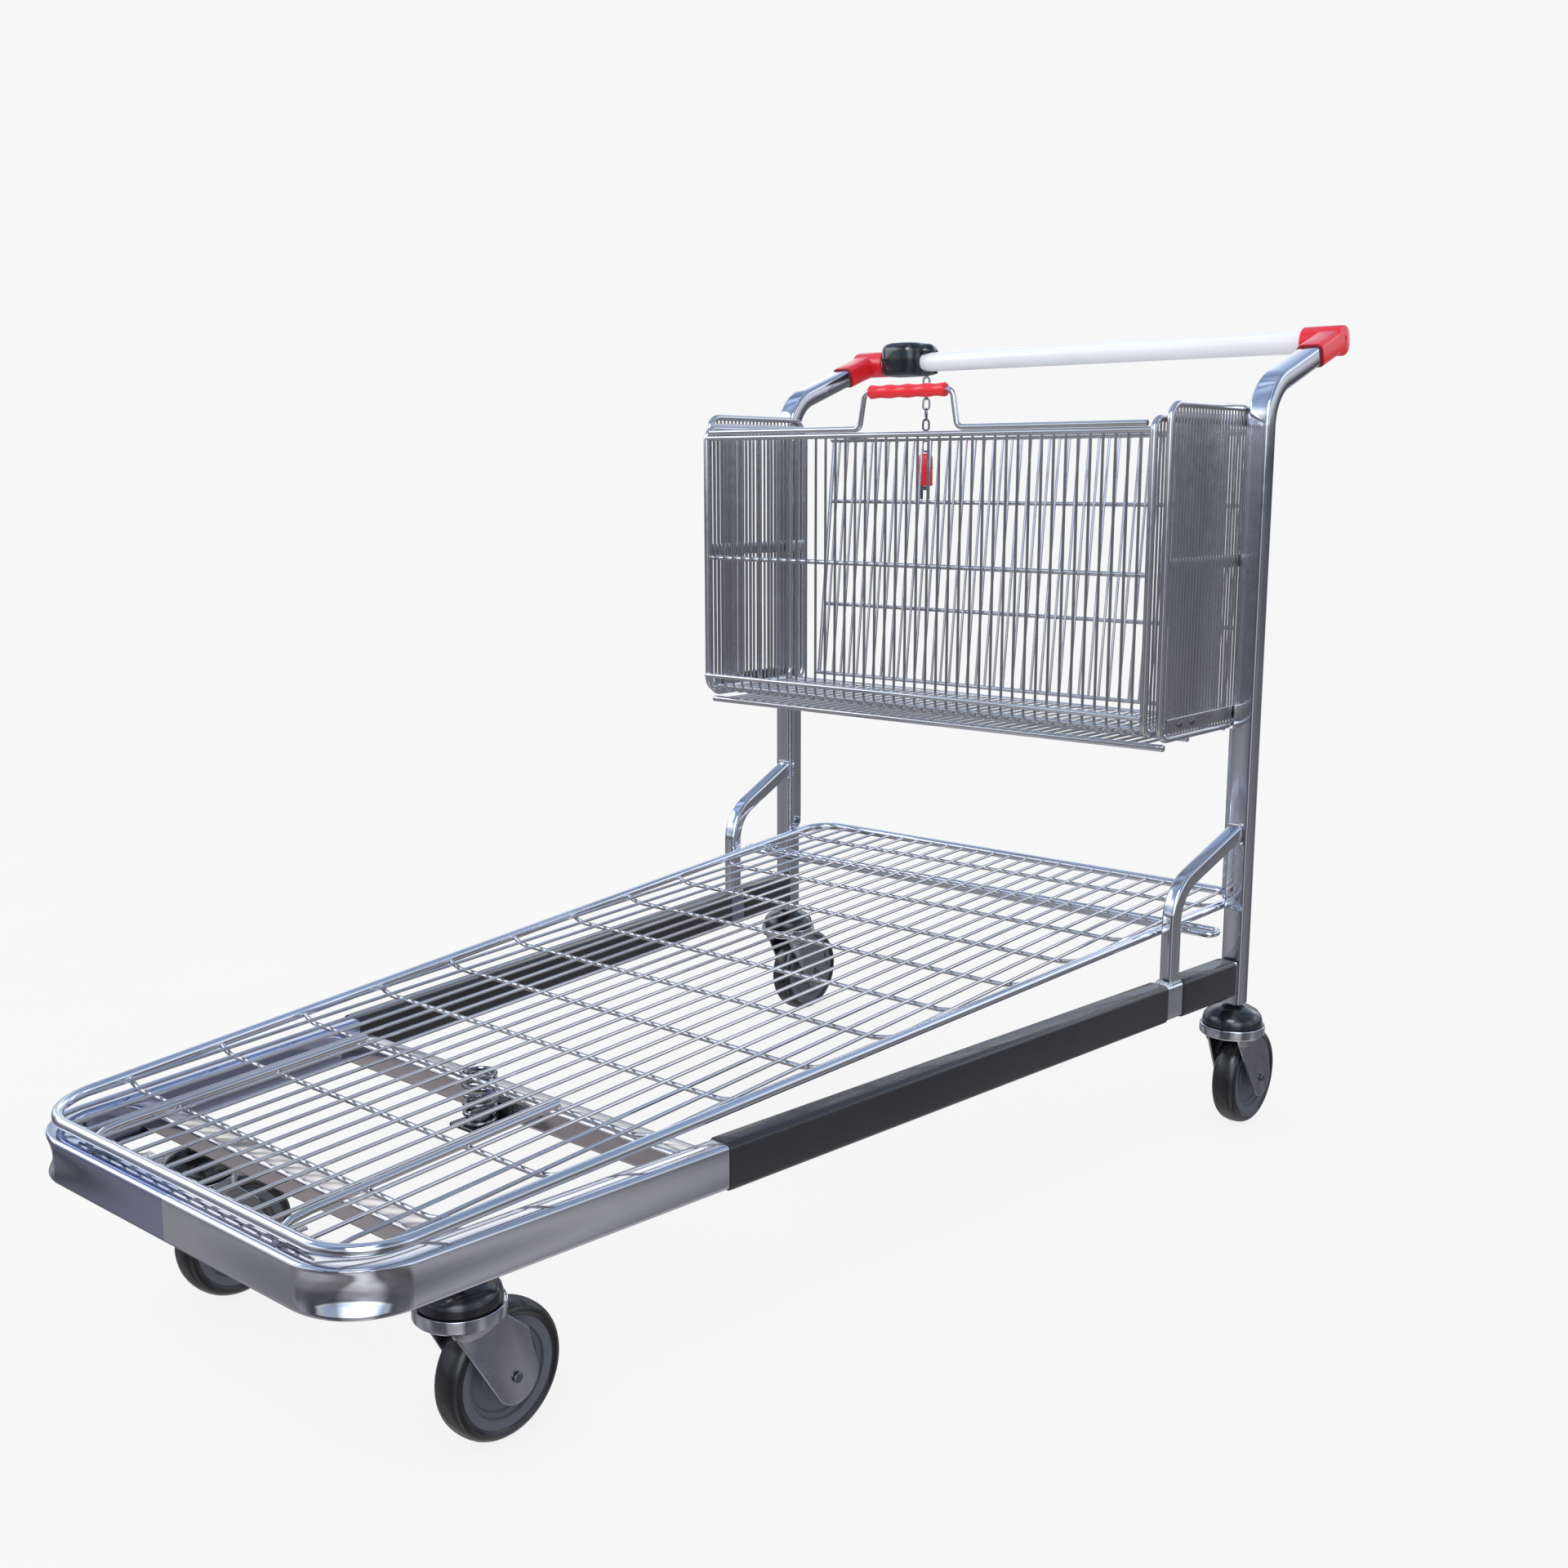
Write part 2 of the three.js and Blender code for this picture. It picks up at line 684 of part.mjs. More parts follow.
// Spring and its seat in front of the rear cross-member.
const springY = -915;
const springBottom = 188;
const springTop = 242;
const springCoil = 15.6;
const springWire = 2.3;
const seat = weld([
  box(vec(-24, springY - 21, 183.5), vec(24, rearMemberY - GAP, springBottom - GAP)),
  box(vec(-24, rearMemberY - 3.3, 186), vec(24, rearMemberY - GAP, 206)),
]);
add(trolley, "spring_seat", seat, darkSteel);
const springTurns = 6.5;
const stepsPerTurn = 10;
const coil = [];
for (let k = 0; k <= springTurns * stepsPerTurn; k++) {
  const a = (k / stepsPerTurn) * 2 * Math.PI;
  const rise = k / (springTurns * stepsPerTurn);
  const low = springBottom + springWire;
  coil.push(
    vec(
      springCoil * Math.cos(a), springY + springCoil * Math.sin(a),
      low + rise * (springTop - springWire - low),
    ),
  );
}
add(trolley, "deck_spring", bentRod(coil, springWire, 4), darkSteel);

// ---------------------------------------------------------------- basket
// A closed loop of rod in a Y-Z plane.
function sideLoop(x, front, rear, bottom, top, corner) {
  const corners = [
    vec(x, front, bottom), vec(x, rear, bottom), vec(x, rear, top), vec(x, front, top),
  ];
  return rodLoop(rounded(corners, corner, 3, true), basketRodRadius, 6);
}

function uprightWires(x, from, to, count, bottom, top) {
  return Array.from({ length: count }, (_, k) => {
    const y = from + ((to - from) * k) / (count - 1);
    return wire(vec(x, y, bottom), vec(x, y, top), basketWireRadius);
  });
}

function sidePanel() {
  const loop = sideLoop(basketLoopX, basketFront, basketRear, basketBottom, basketTop, 22);
  const wires = uprightWires(
    basketLoopX, basketFront + 11, basketRear - 11, 25, basketBottom + 1, basketTop - 1,
  );
  const stripZ = [[884, 897], [716, 732]];
  const strips = stripZ.map(([low, high]) =>
    box(vec(basketLoopX - 4.8, basketFront, low), vec(basketLoopX - 2.1, basketRear, high)),
  );
  return weld([loop, ...wires, ...strips]);
}
addPair(trolley, "basket_side", sidePanel(), chrome);

const plateX = basketLoopX + basketWireRadius + GAP;
const plate = weld([
  box(vec(plateX, basketFront + 14, 531), vec(plateX + 2, basketRear - 14, 547)),
  wire(vec(plateX + 1, -147.2, 539), vec(plateX + 5, -147.2, 539), 1.7, 6),
  wire(vec(plateX + 1, -117.2, 539), vec(plateX + 5, -117.2, 539), 1.7, 6),
]);
addPair(trolley, "basket_plate", plate, steel);

// Points spread evenly over a width, mirrored about the middle.
const spread = (half, count) =>
  Array.from({ length: count }, (_, k) => -half + (2 * half * k) / (count - 1));

const floorZ = 514;
const floorFrontY = -182;
const floorRearY = 16;
const floorRod = 4.4;
function basketFloor() {
  const rod = (y, z, reach, radius) => wire(vec(-reach, y, z), vec(reach, y, z), radius, 6);
  const level = floorZ + 2.4;
  // The middle rod lies under the wires and is held by the two stout end wires.
  const middleZ = level - basketWireRadius - 3 - GAP;
  const rods = [
    rod(floorFrontY, floorZ, basketLoopX + 3, floorRod),
    rod((floorFrontY + floorRearY) / 2, middleZ, 334, 3),
    rod(floorRearY, floorZ, flapHalf, 3),
  ];
  const wires = spread(310, 21).map((x) =>
    wire(vec(x, floorFrontY, level), vec(x, floorRearY, level), basketWireRadius),
  );
  const ends = [-1, 1].map((side) =>
    wire(vec(side * 326, floorFrontY, floorZ), vec(side * 326, floorRearY, floorZ), 3, 6),
  );
  return weld([...rods, ...wires, ...ends]);
}
add(trolley, "basket_floor", basketFloor(), chrome);

// The flap hangs from its top rod and leans back. Its two middle rods lie behind the wires and
// are held by the stout wires at the ends.
function basketFlap() {
  const run = flapTop.clone().sub(flapBottom);
  const behind = new THREE.Vector2(run.y, -run.x).normalize();
  const at = (x, share, back = 0) =>
    vec(
      x,
      flapBottom.x + run.x * share + behind.x * back,
      flapBottom.y + run.y * share + behind.y * back,
    );
  const rod = (share, radius, back = 0) =>
    wire(at(-flapHalf, share, back), at(flapHalf, share, back), radius, 6);
  const wires = spread(flapHalf - 16, 40).map((x) => wire(at(x, 0), at(x, 1), basketWireRadius));
  const ends = [-1, 1].map((side) =>
    wire(at(side * (flapHalf - 3), 0, 1.5), at(side * (flapHalf - 3), 1, 1.5), 3, 6),
  );
  const offset = basketWireRadius + 2.8 + GAP;
  return weld([
    rod(0, 2.8), rod(0.3, 2.8, offset), rod(0.74, 2.8, offset), rod(1, basketRodRadius),
    ...ends, ...wires,
  ]);
}
add(trolley, "basket_flap", basketFlap(), chrome);

// The front cage: front wall, two side wings and a floor that slides over the fixed one. The
// two middle rods of the front wall lie before its wires and run into the loops of the wings.
const cageRear = cageFront + cageDepth;
function basketCage() {
  const rod = (y, z, radius) => wire(vec(-cageX, y, z), vec(cageX, y, z), radius, 6);
  const before = cageFront - basketWireRadius - 3 - GAP;
  const rods = [
    rod(cageFront, 876, 3.6), rod(before, 714, 3), rod(before, 551, 3),
    rod(cageFront, cageBottom, 3.4), rod(cageRear, cageBottom, 3),
  ];
  const loops = [-1, 1].map((side) =>
    sideLoop(side * cageX, cageFront, cageRear, cageBottom, cageTop, 16),
  );
  const wings = [-1, 1].flatMap((side) =>
    uprightWires(side * cageX, cageFront + 11, cageRear - 11, 11, cageBottom + 1, cageTop - 1),
  );
  const front = spread(cageX - 16, 41).map((x) =>
    wire(vec(x, cageFront, cageBottom), vec(x, cageFront, 876), basketWireRadius),
  );
  const floor = spread(cageX - 24, 20).map((x) =>
    wire(vec(x, cageFront, cageBottom), vec(x, cageRear, cageBottom), basketWireRadius),
  );
  return weld([...rods, ...loops, ...wings, ...front, ...floor]);
}
add(trolley, "basket_cage", basketCage(), chrome);

const gripZ = 929;
const gripHalf = 58;
const gripLegX = 73;
const gripRod = 3.6;
const legFoot = 876 + 3.6 + GAP + gripRod;
const gripBow = bentRod(
  rounded(
    [
      vec(-cageX + 8, cageFront, legFoot), vec(-gripLegX - 2, cageFront, legFoot),
      vec(-gripLegX + 5, cageFront, gripZ), vec(gripLegX - 5, cageFront, gripZ),
      vec(gripLegX + 2, cageFront, legFoot), vec(cageX - 8, cageFront, legFoot),
    ],
    9, 3,
  ),
  gripRod, 6,
);
add(trolley, "grip_wire", gripBow, chrome);

const gripProfile = [[gripRod + GAP + 0.1, -gripHalf], [8.6, -gripHalf]];
const gripWaves = 4;
for (let k = 1; k <= 2 * gripWaves; k++) {
  gripProfile.push([k % 2 ? 7.6 : 8.6, -gripHalf + (gripHalf * k) / gripWaves]);
}
gripProfile.push([gripRod + GAP + 0.1, gripHalf]);
const grip = turned(gripProfile, 8).rotateY(Math.PI / 2).translate(0, cageFront, gripZ);
add(trolley, "basket_grip", grip, redPlastic);

// ---------------------------------------------------------------- origin
// The outer box runs from the nose of the frame to the back of the coin lock.
trolley.position.y = -(noseY + lockBack) / 2;

const part = new THREE.Group();
part.add(trolley);
export default part;
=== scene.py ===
import math

import bpy
import numpy as np
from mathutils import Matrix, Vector

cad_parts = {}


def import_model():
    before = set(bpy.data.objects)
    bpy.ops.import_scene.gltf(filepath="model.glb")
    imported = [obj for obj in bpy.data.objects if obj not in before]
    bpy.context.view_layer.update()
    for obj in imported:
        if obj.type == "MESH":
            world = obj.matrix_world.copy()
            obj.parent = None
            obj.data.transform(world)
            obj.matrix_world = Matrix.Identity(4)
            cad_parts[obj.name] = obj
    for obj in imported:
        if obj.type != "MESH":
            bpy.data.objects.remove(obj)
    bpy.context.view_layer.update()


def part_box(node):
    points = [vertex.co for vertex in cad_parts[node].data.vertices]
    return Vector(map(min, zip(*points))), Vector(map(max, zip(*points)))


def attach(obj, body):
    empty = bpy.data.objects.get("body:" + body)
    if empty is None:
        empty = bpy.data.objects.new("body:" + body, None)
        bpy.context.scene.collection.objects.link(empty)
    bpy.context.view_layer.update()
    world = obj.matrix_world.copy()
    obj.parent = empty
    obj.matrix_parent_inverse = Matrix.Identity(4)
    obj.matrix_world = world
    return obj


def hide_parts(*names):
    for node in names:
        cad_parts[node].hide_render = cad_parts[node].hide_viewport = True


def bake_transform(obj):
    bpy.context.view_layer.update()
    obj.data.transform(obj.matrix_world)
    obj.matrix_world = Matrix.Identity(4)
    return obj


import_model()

# ------------------------------------------------------------------ driving dimensions
SIDES = ((1, "left"), (-1, "right"))
SHARP_ANGLE = math.radians(35)

NOSE_Y = -1260.5
NOSE_BEND = 59.0
SHIFT_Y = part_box("base_frame")[0].y * 1000 - NOSE_Y

TUBE_WIDTH = 26.0
FRAME_LOW, FRAME_HIGH = 182.0, 225.0
FRAME_MIDDLE = (FRAME_LOW + FRAME_HIGH) / 2
FRAME_HALF = 381.5
SIDE_SLOPE = 0.102
TUBE_ACROSS = TUBE_WIDTH * math.hypot(1, SIDE_SLOPE)
SIDE_ANGLE = math.atan(SIDE_SLOPE)

UPRIGHT_X = 370.0
BRACE_Y = -144.5
HANDLE_Y, HANDLE_Z = 192.0, 993.8
HANDLE_RADIUS = 14.0
ELBOW_Z = 925.5
COIN_SLOT_Z = 998.0
SLANT = math.atan2(HANDLE_Z - ELBOW_Z, HANDLE_Y)

WHEEL_RADIUS = 62.5
TRAIL = 39.0
FORK_SPLAY = 4.5
CASTORS = {
    "front_left": (206, -1111),
    "front_right": (-206, -1111),
    "rear_left": (370, 0),
    "rear_right": (-370, 0),
}

DECK_Y, DECK_Z, DECK_SLOPE = -1246.4, 236.0, 0.045
DECK_LENGTH = 1304.0
DECK_NOSE_HALF, DECK_REAR_HALF = 247.9, 353.0
RIM_CORNER = 64.0
LONG_PITCH = 26.8
LONG_WIRE, CROSS_WIRE = 1.95, 2.6
CROSS_WIRES = [93 + 106.8 * k for k in range(10)] + [1147.0, 1241.0]
HINGE_ROD_X = 147.0
SUPPORT_Y, SUPPORT_HALF = -78.0, 380.0
SPRING_Y, SPRING_LOW, SPRING_HIGH = -915.0, 190.4, 238.5
RIM_RADIUS = 5.5

BASKET_X = 351.0
BASKET_LOW, BASKET_HIGH = 523.0, 905.0
BASKET_FRONT, BASKET_REAR = -192.0, 10.0
CAGE_X, CAGE_FRONT, CAGE_REAR = 340.0, -209.0, -31.0
CAGE_LOW, CAGE_HIGH = 531.0, 889.0
FLAP_HALF = 329.0
RIVETS_Y = (-147.2, -117.2)
WIRE, WING_WIRE = 1.75, 1.45
BASKET_PITCH = 16.25


# ------------------------------------------------------------------ geometry
def row(points):
    """Millimetres in the trolley's frame to metres in the row frame."""
    return (np.asarray(points, float) + (0, SHIFT_Y, 0)) / 1000


def unit(v):
    return v / np.linalg.norm(v)


def bend(points, radius, steps=8, closed=False):
    """A polyline with its corners rounded, as an array of points."""
    pts = [np.asarray(p, float) for p in points]
    n = len(pts)
    route = []
    for i, corner in enumerate(pts):
        r = radius[i] if isinstance(radius, (list, tuple)) else radius
        if (not closed and i in (0, n - 1)) or r <= 0:
            route.append(corner)
            continue
        before, after = unit(pts[i - 1] - corner), unit(pts[(i + 1) % n] - corner)
        half = math.acos(max(-1, min(1, before @ after))) / 2
        centre = corner + unit(before + after) * r / math.sin(half)
        a = corner + before * r / math.tan(half) - centre
        b = corner + after * r / math.tan(half) - centre
        sweep = math.pi - 2 * half
        for k in range(steps + 1):
            t = sweep * k / steps
            route.append(centre + (a * math.sin(sweep - t) + b * math.sin(t)) / math.sin(sweep))
    return np.array(route)


def rounded_rect(width, height, radius, steps=4, extra=0):
    """Outline of a rounded rectangle, with extra points along each long side."""
    corners = [(1, 1), (-1, 1), (-1, -1), (1, -1)]
    out = []
    for i, (sx, sy) in enumerate(corners):
        cx, cy = sx * (width / 2 - radius), sy * (height / 2 - radius)
        for k in range(steps + 1):
            a = math.pi / 2 * (i + k / steps)
            out.append((cx + radius * math.cos(a), cy + radius * math.sin(a)))
        if extra and i in (1, 3):
            end = np.array(out[-1])
            for k in range(1, extra + 1):
                run = (height - 2 * radius) * k / (extra + 1)
                out.append((end[0], end[1] + (-run if i == 1 else run)))
    return np.array(out)


def circle(radius, sides):
    a = np.arange(sides) * 2 * math.pi / sides
    return np.stack([radius * np.cos(a), radius * np.sin(a)], 1)


class Shape:
    """Collects faces in millimetres for one piece."""

    def __init__(self):
        self.points, self.faces = [], []

    def rings(self, rings, closed=False):
        """A skin over rings of equal size. closed joins the last ring to the first, and an open
        skin gets a cap at each end."""
        base, n, m = len(self.points), len(rings), len(rings[0])
        self.points += [tuple(p) for ring in rings for p in ring]
        for i in range(n if closed else n - 1):
            a, b = base + i * m, base + (i + 1) % n * m
            for k in range(m):
                j = (k + 1) % m
                self.faces.append((a + k, a + j, b + j, b + k))
        if not closed:
            self.faces.append(tuple(base + k for k in reversed(range(m))))
            self.faces.append(tuple(base + (n - 1) * m + k for k in range(m)))
        return self

    def sweep(self, path, section, up=None, closed=False):
        """A section carried along a path. section is an outline or a function of the step.
        The outline's first axis lies along the path's side and its second along up."""
        p = np.asarray(path, float)
        n = len(p)
        back = np.roll(p, 1, 0) if closed else np.vstack([p[:1], p[:-1]])
        ahead = np.roll(p, -1, 0) if closed else np.vstack([p[1:], p[-1:]])
        if up is None:
            spread = np.linalg.svd(p - p.mean(0))[2]
            up = spread[2] if abs(unit(p[1] - p[0]) @ spread[2]) < 0.5 else (0, 0, 1)
        normal = np.asarray(up, float)
        rings = []
        for i in range(n):
            into, out = p[i] - back[i], ahead[i] - p[i]
            into = unit(into) if np.linalg.norm(into) > 1e-9 else unit(out)
            out = unit(out) if np.linalg.norm(out) > 1e-9 else into
            tangent = unit(into + out)
            normal = unit(normal - tangent * (normal @ tangent))
            side = np.cross(tangent, normal)
            turn = math.sqrt((1 + max(-0.9, into @ out)) / 2)
            fold = out - into
            fold = unit(fold) if np.linalg.norm(fold) > 1e-6 else np.zeros(3)
            outline = section(i) if callable(section) else section
            ring = outline[:, :1] * side + outline[:, 1:] * normal
            ring += np.outer(ring @ fold, fold) * (1 / turn - 1)
            rings.append(p[i] + ring)
        return self.rings(rings, closed)

    def tube(self, path, radius, sides=12, closed=False):
        return self.sweep(path, circle(radius, sides), closed=closed)

    def rod(self, a, b, radius, sides=10, dome=0.0):
        """A straight rod. dome rounds its two ends by that length."""
        a, b = np.asarray(a, float), np.asarray(b, float)
        if not dome:
            return self.tube([a, b], radius, sides)
        along = unit(b - a)
        steps = [(0, 0.45), (0.12, 0.75), (0.45, 0.94), (1, 1)]
        path = [a + along * dome * t for t, _ in steps]
        path += [b - along * dome * t for t, _ in reversed(steps)]
        share = [s for _, s in steps] + [s for _, s in reversed(steps)]
        return self.sweep(path, lambda i: circle(radius * share[i], sides))

    def lathe(self, profile, centre, axis=(0, 0, 1), sides=48, closed=False):
        """profile is a list of (radius, height along the axis)."""
        axis = unit(np.asarray(axis, float))
        first = unit(np.cross(axis, (0, 1, 0) if abs(axis[1]) < 0.9 else (1, 0, 0)))
        second = np.cross(axis, first)
        turn = circle(1, sides)
        rings = [
            np.asarray(centre, float) + axis * h
            + max(r, 0.02) * (turn[:, :1] * first + turn[:, 1:] * second)
            for r, h in profile
        ]
        return self.rings(rings, closed)

    def helix(self, centre, radius, wire, low, high, turns):
        """A compression spring with its end turns lying flat."""
        steps = int(turns * 28)
        path = []
        for k in range(steps + 1):
            t = k / steps * turns
            share = np.clip((t - 0.8) / (turns - 1.6), 0, 1)
            rise = low + (high - low) * share + 0.25 * wire * min(t, turns - t, 0.8)
            a = 2 * math.pi * t
            path.append((centre[0] + radius * math.cos(a), centre[1] + radius * math.sin(a), rise))
        return self.sweep(path, circle(wire, 10), up=(0, 0, 1))

    def bead(self, centre, size, sides=14):
        """A low lump of weld or a rivet head: an ellipsoid with the given half sizes."""
        profile = [(math.sin(a), -math.cos(a)) for a in np.linspace(0, math.pi, 9)]
        start = len(self.points)
        self.lathe(profile, (0, 0, 0), sides=sides)
        for i in range(start, len(self.points)):
            q = np.asarray(self.points[i]) * size + centre
            self.points[i] = tuple(q)
        return self

    def mirrored(self):
        """The same shape on the other side of the middle plane."""
        self.points = [(-x, y, z) for x, y, z in self.points]
        self.faces = [tuple(reversed(f)) for f in self.faces]
        return self


def sided(shape, side):
    """A shape made for the left side, mirrored when the side is -1."""
    return shape if side > 0 else shape.mirrored()


def make(name, shape, material, body, slot, *replaced):
    """Turns a shape into a piece that rides on a body, if one is given, and stands for CAD nodes."""
    mesh = bpy.data.meshes.new(name)
    mesh.from_pydata(row(shape.points).tolist(), [], shape.faces)
    mesh.validate()
    mesh.update()
    mesh.shade_smooth()
    mesh.set_sharp_from_angle(angle=SHARP_ANGLE)
    mesh.materials.append(material)
    obj = bpy.data.objects.new(name, mesh)
    bpy.context.scene.collection.objects.link(obj)
    if body:
        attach(obj, body)
    if replaced:
        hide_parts(*replaced)
    return obj


# ------------------------------------------------------------------ materials
class Nodes:
    """A small helper that builds one node material."""

    def __init__(self, name):
        self.material = bpy.data.materials.new(name)
        self.material.use_nodes = True
        self.tree = self.material.node_tree
        self.shader = self.tree.nodes["Principled BSDF"]
        place = self.tree.nodes.new("ShaderNodeTexCoord")
        self.place = place.outputs["Object"]

    def link(self, a, b):
        self.tree.links.new(a, b)

    def noise(self, scale, detail=3.0):
        node = self.tree.nodes.new("ShaderNodeTexNoise")
        node.inputs["Scale"].default_value = scale
        node.inputs["Detail"].default_value = detail
        self.link(self.place, node.inputs["Vector"])
        return node.outputs["Fac"]

    def ramp(self, source, stops):
        node = self.tree.nodes.new("ShaderNodeValToRGB")
        ramp = node.color_ramp
        for i, (at, colour) in enumerate(stops):
            stop = ramp.elements[i] if i < 2 else ramp.elements.new(at)
            stop.position = at
            stop.color = (*colour, 1)
        self.link(source, node.inputs["Fac"])
        return node.outputs["Color"]

    def spread(self, source, low, high):
        node = self.tree.nodes.new("ShaderNodeMapRange")
        node.inputs["From Min"].default_value = 0.3
        node.inputs["From Max"].default_value = 0.7
        node.inputs["To Min"].default_value = low
        node.inputs["To Max"].default_value = high
        self.link(source, node.inputs["Value"])
        return node.outputs["Result"]

    def bump(self, source, strength, depth):
        node = self.tree.nodes.new("ShaderNodeBump")
        node.inputs["Strength"].default_value = strength
        node.inputs["Distance"].default_value = depth
        self.link(source, node.inputs["Height"])
        self.link(node.outputs["Normal"], self.shader.inputs["Normal"])

    def set(self, **values):
        names = {"metallic": "Metallic", "coat": "Coat Weight", "gloss": "Coat Roughness"}
        for key, value in values.items():
            self.shader.inputs[names[key]].default_value = value


def tone(colour, factor):
    return tuple(min(1.0, c * factor) for c in colour)


def metal(name, colour, rough, variation=0.08, grain=60, wave=0.0, metallic=1.0):
    m = Nodes(name)
    m.set(metallic=metallic)
    cloud = m.noise(9, 4)
    m.link(
        m.ramp(cloud, [(0.3, tone(colour, 1 - variation)), (0.7, tone(colour, 1 + variation))]),
        m.shader.inputs["Base Color"],
    )
    m.link(m.spread(m.noise(grain, 5), *rough), m.shader.inputs["Roughness"])
    if wave:
        m.bump(m.noise(14, 1), 0.25, wave)
    return m.material


def plastic(name, colour, rough, grain=900, depth=0.00004, coat=0.0, variation=0.10):
    m = Nodes(name)
    m.set(metallic=0.0, coat=coat, gloss=0.12)
    cloud = m.noise(12, 4)
    m.link(
        m.ramp(cloud, [(0.3, tone(colour, 1 - variation)), (0.7, tone(colour, 1 + variation))]),
        m.shader.inputs["Base Color"],
    )
    m.link(m.spread(m.noise(70, 4), *rough), m.shader.inputs["Roughness"])
    m.bump(m.noise(grain, 2), 0.35, depth)
    return m.material


chrome = metal("chrome", (0.72, 0.74, 0.79), (0.05, 0.12), 0.05, 45, 0.0004)
# A darker, bluer copy of the chrome: painted shade, standing in for the darker reflection on the frame
# tube's right half.
chrome_painted_shade = metal("chrome_painted_shade", (0.44, 0.49, 0.66), (0.06, 0.13), 0.05, 45, 0.0004)
chrome_wire = metal("chrome_wire", (0.60, 0.60, 0.63), (0.10, 0.18), 0.08, 80, 0.0, 0.92)
# A warmer copy of the chrome: painted warm reflection for the cross members and hinge lugs.
chrome_painted_warm_reflection = metal("chrome_painted_warm_reflection", (0.74, 0.70, 0.69), (0.08, 0.16), 0.08, 40, 0.0006)
zinc = metal("zinc", (0.46, 0.47, 0.51), (0.22, 0.32), 0.06, 120)
zinc_plate = metal("zinc_plate", (0.60, 0.59, 0.60), (0.20, 0.32), 0.07, 90)
dark_steel = metal("dark_steel", (0.17, 0.18, 0.20), (0.28, 0.42), 0.18, 150)
spring_steel = metal("spring_steel", (0.30, 0.31, 0.34), (0.12, 0.20), 0.12, 150)
black_sleeve = plastic("black_sleeve", (0.019, 0.0195, 0.023), (0.22, 0.28), 500, 0.000002, 0.4)
black_gloss = plastic("black_gloss", (0.012, 0.013, 0.017), (0.12, 0.20), 400, 0.000003, 0.5)
lock_black = plastic("lock_black", (0.012, 0.015, 0.020), (0.10, 0.18), 700, 0.000004, 0.5)
red_gloss = plastic("red_gloss", (0.70, 0.018, 0.026), (0.16, 0.24), 300, 0.000002, 0.4, 0.05)
white_coat = plastic("white_coat", (0.82, 0.85, 0.91), (0.16, 0.24), 250, 0.000002, 0.4, 0.02)
grey_disc = plastic("grey_disc", (0.085, 0.092, 0.115), (0.34, 0.44), 600, 0.00001)
tyre_black = plastic("tyre_black", (0.011, 0.0105, 0.012), (0.24, 0.32), 350, 0.000004, 0.25)
# Near-black and matt: painted shade standing in for the coin slot's dark opening.
slot_painted_shade = plastic("slot_painted_shade", (0.002, 0.002, 0.002), (0.7, 0.8), 500, 0.00002)


# ------------------------------------------------------------------ base frame
def side_x(y):
    """Centre line of a side tube."""
    return FRAME_HALF - TUBE_ACROSS / 2 + SIDE_SLOPE * y


def frame_half(sign):
    """One half of the bent tube, from the seam in the middle of the nose to its rear end."""
    y = NOSE_Y + TUBE_WIDTH / 2
    corners = [(0.15, y, FRAME_MIDDLE), (side_x(y), y, FRAME_MIDDLE), (side_x(-13), -13, FRAME_MIDDLE)]
    steps = 20
    path = bend(corners, NOSE_BEND, steps)
    straight = rounded_rect(TUBE_WIDTH, FRAME_HIGH - FRAME_LOW, 4.5, 4, 5)
    half = (FRAME_HIGH - FRAME_LOW) / 2

    def section(i):
        # The bend draws the outer wall in and pinches the tube's waist.
        share = math.sin(math.pi * np.clip((i - 1) / steps, 0, 1)) ** 0.7
        out = straight.copy()
        waist = np.cos(np.clip(out[:, 1] / half, -1, 1) * math.pi / 2)
        out[:, 0] -= np.where(out[:, 0] > 0, 8.0, -1.5) * waist * share
        return out

    return sided(Shape().sweep(path, section, up=(0, 0, 1)), sign)


def box_tube(a, b, width, height, radius):
    return Shape().sweep([a, b], rounded_rect(width, height, radius), up=(0, 0, 1))


make("frame_tube_left", frame_half(1), chrome, "frame", "chrome", "base_frame")
# The right half takes the darker chrome copy: painted shade for its darker reflection.
make("frame_tube_right", frame_half(-1), chrome_painted_shade, "frame", "chrome", "base_frame")

inner_front = side_x(-1132) - TUBE_ACROSS / 2
front_member = box_tube((-inner_front, -1132, 201), (inner_front, -1132, 201), 30, 22, 4)
for side in (-1, 1):
    x = side * 199.5
    front_member.sweep(
        [(x - 20, -1113, 188.2), (x + 20, -1113, 188.2)], rounded_rect(54, 4.4, 1.5), up=(0, 0, 1)
    )
# The cross members take the warm chrome copy, a painted warm reflection.
make("front_member", front_member, chrome_painted_warm_reflection, "frame", "chrome", "cross_member_front")
inner_rear = side_x(-879) - TUBE_ACROSS / 2
rear_member = box_tube((-inner_rear, -879, 200), (inner_rear, -879, 200), 30, 28, 4)
make("rear_member", rear_member, chrome_painted_warm_reflection, "frame", "chrome", "cross_member_rear")


def sleeve(front, rear):
    """A moulded sleeve over the side tube, with softened ends."""
    points, share = [], []
    for y, s in [(front, 0.93), (front + 0.6, 0.985), (front + 2, 1), (rear - 2, 1),
                 (rear - 0.6, 0.985), (rear, 0.93)]:
        points.append((side_x(y), y, FRAME_MIDDLE))
        share.append(s)
    outline = rounded_rect(TUBE_WIDTH + 3.8, FRAME_HIGH - FRAME_LOW + 3.8, 6.5, 5)
    return Shape().sweep(points, lambda i: outline * share[i], up=(0, 0, 1))


for name, ends in {"front": (-866, -166), "rear": (-133, -17)}.items():
    make(f"sleeve_{name}_l", sleeve(*ends), black_sleeve, "frame", "black_plastic",
         f"sleeve_{name}_left")
    make(f"sleeve_{name}_r", sleeve(*ends).mirrored(), black_sleeve, "frame", "black_plastic",
         f"sleeve_{name}_right")


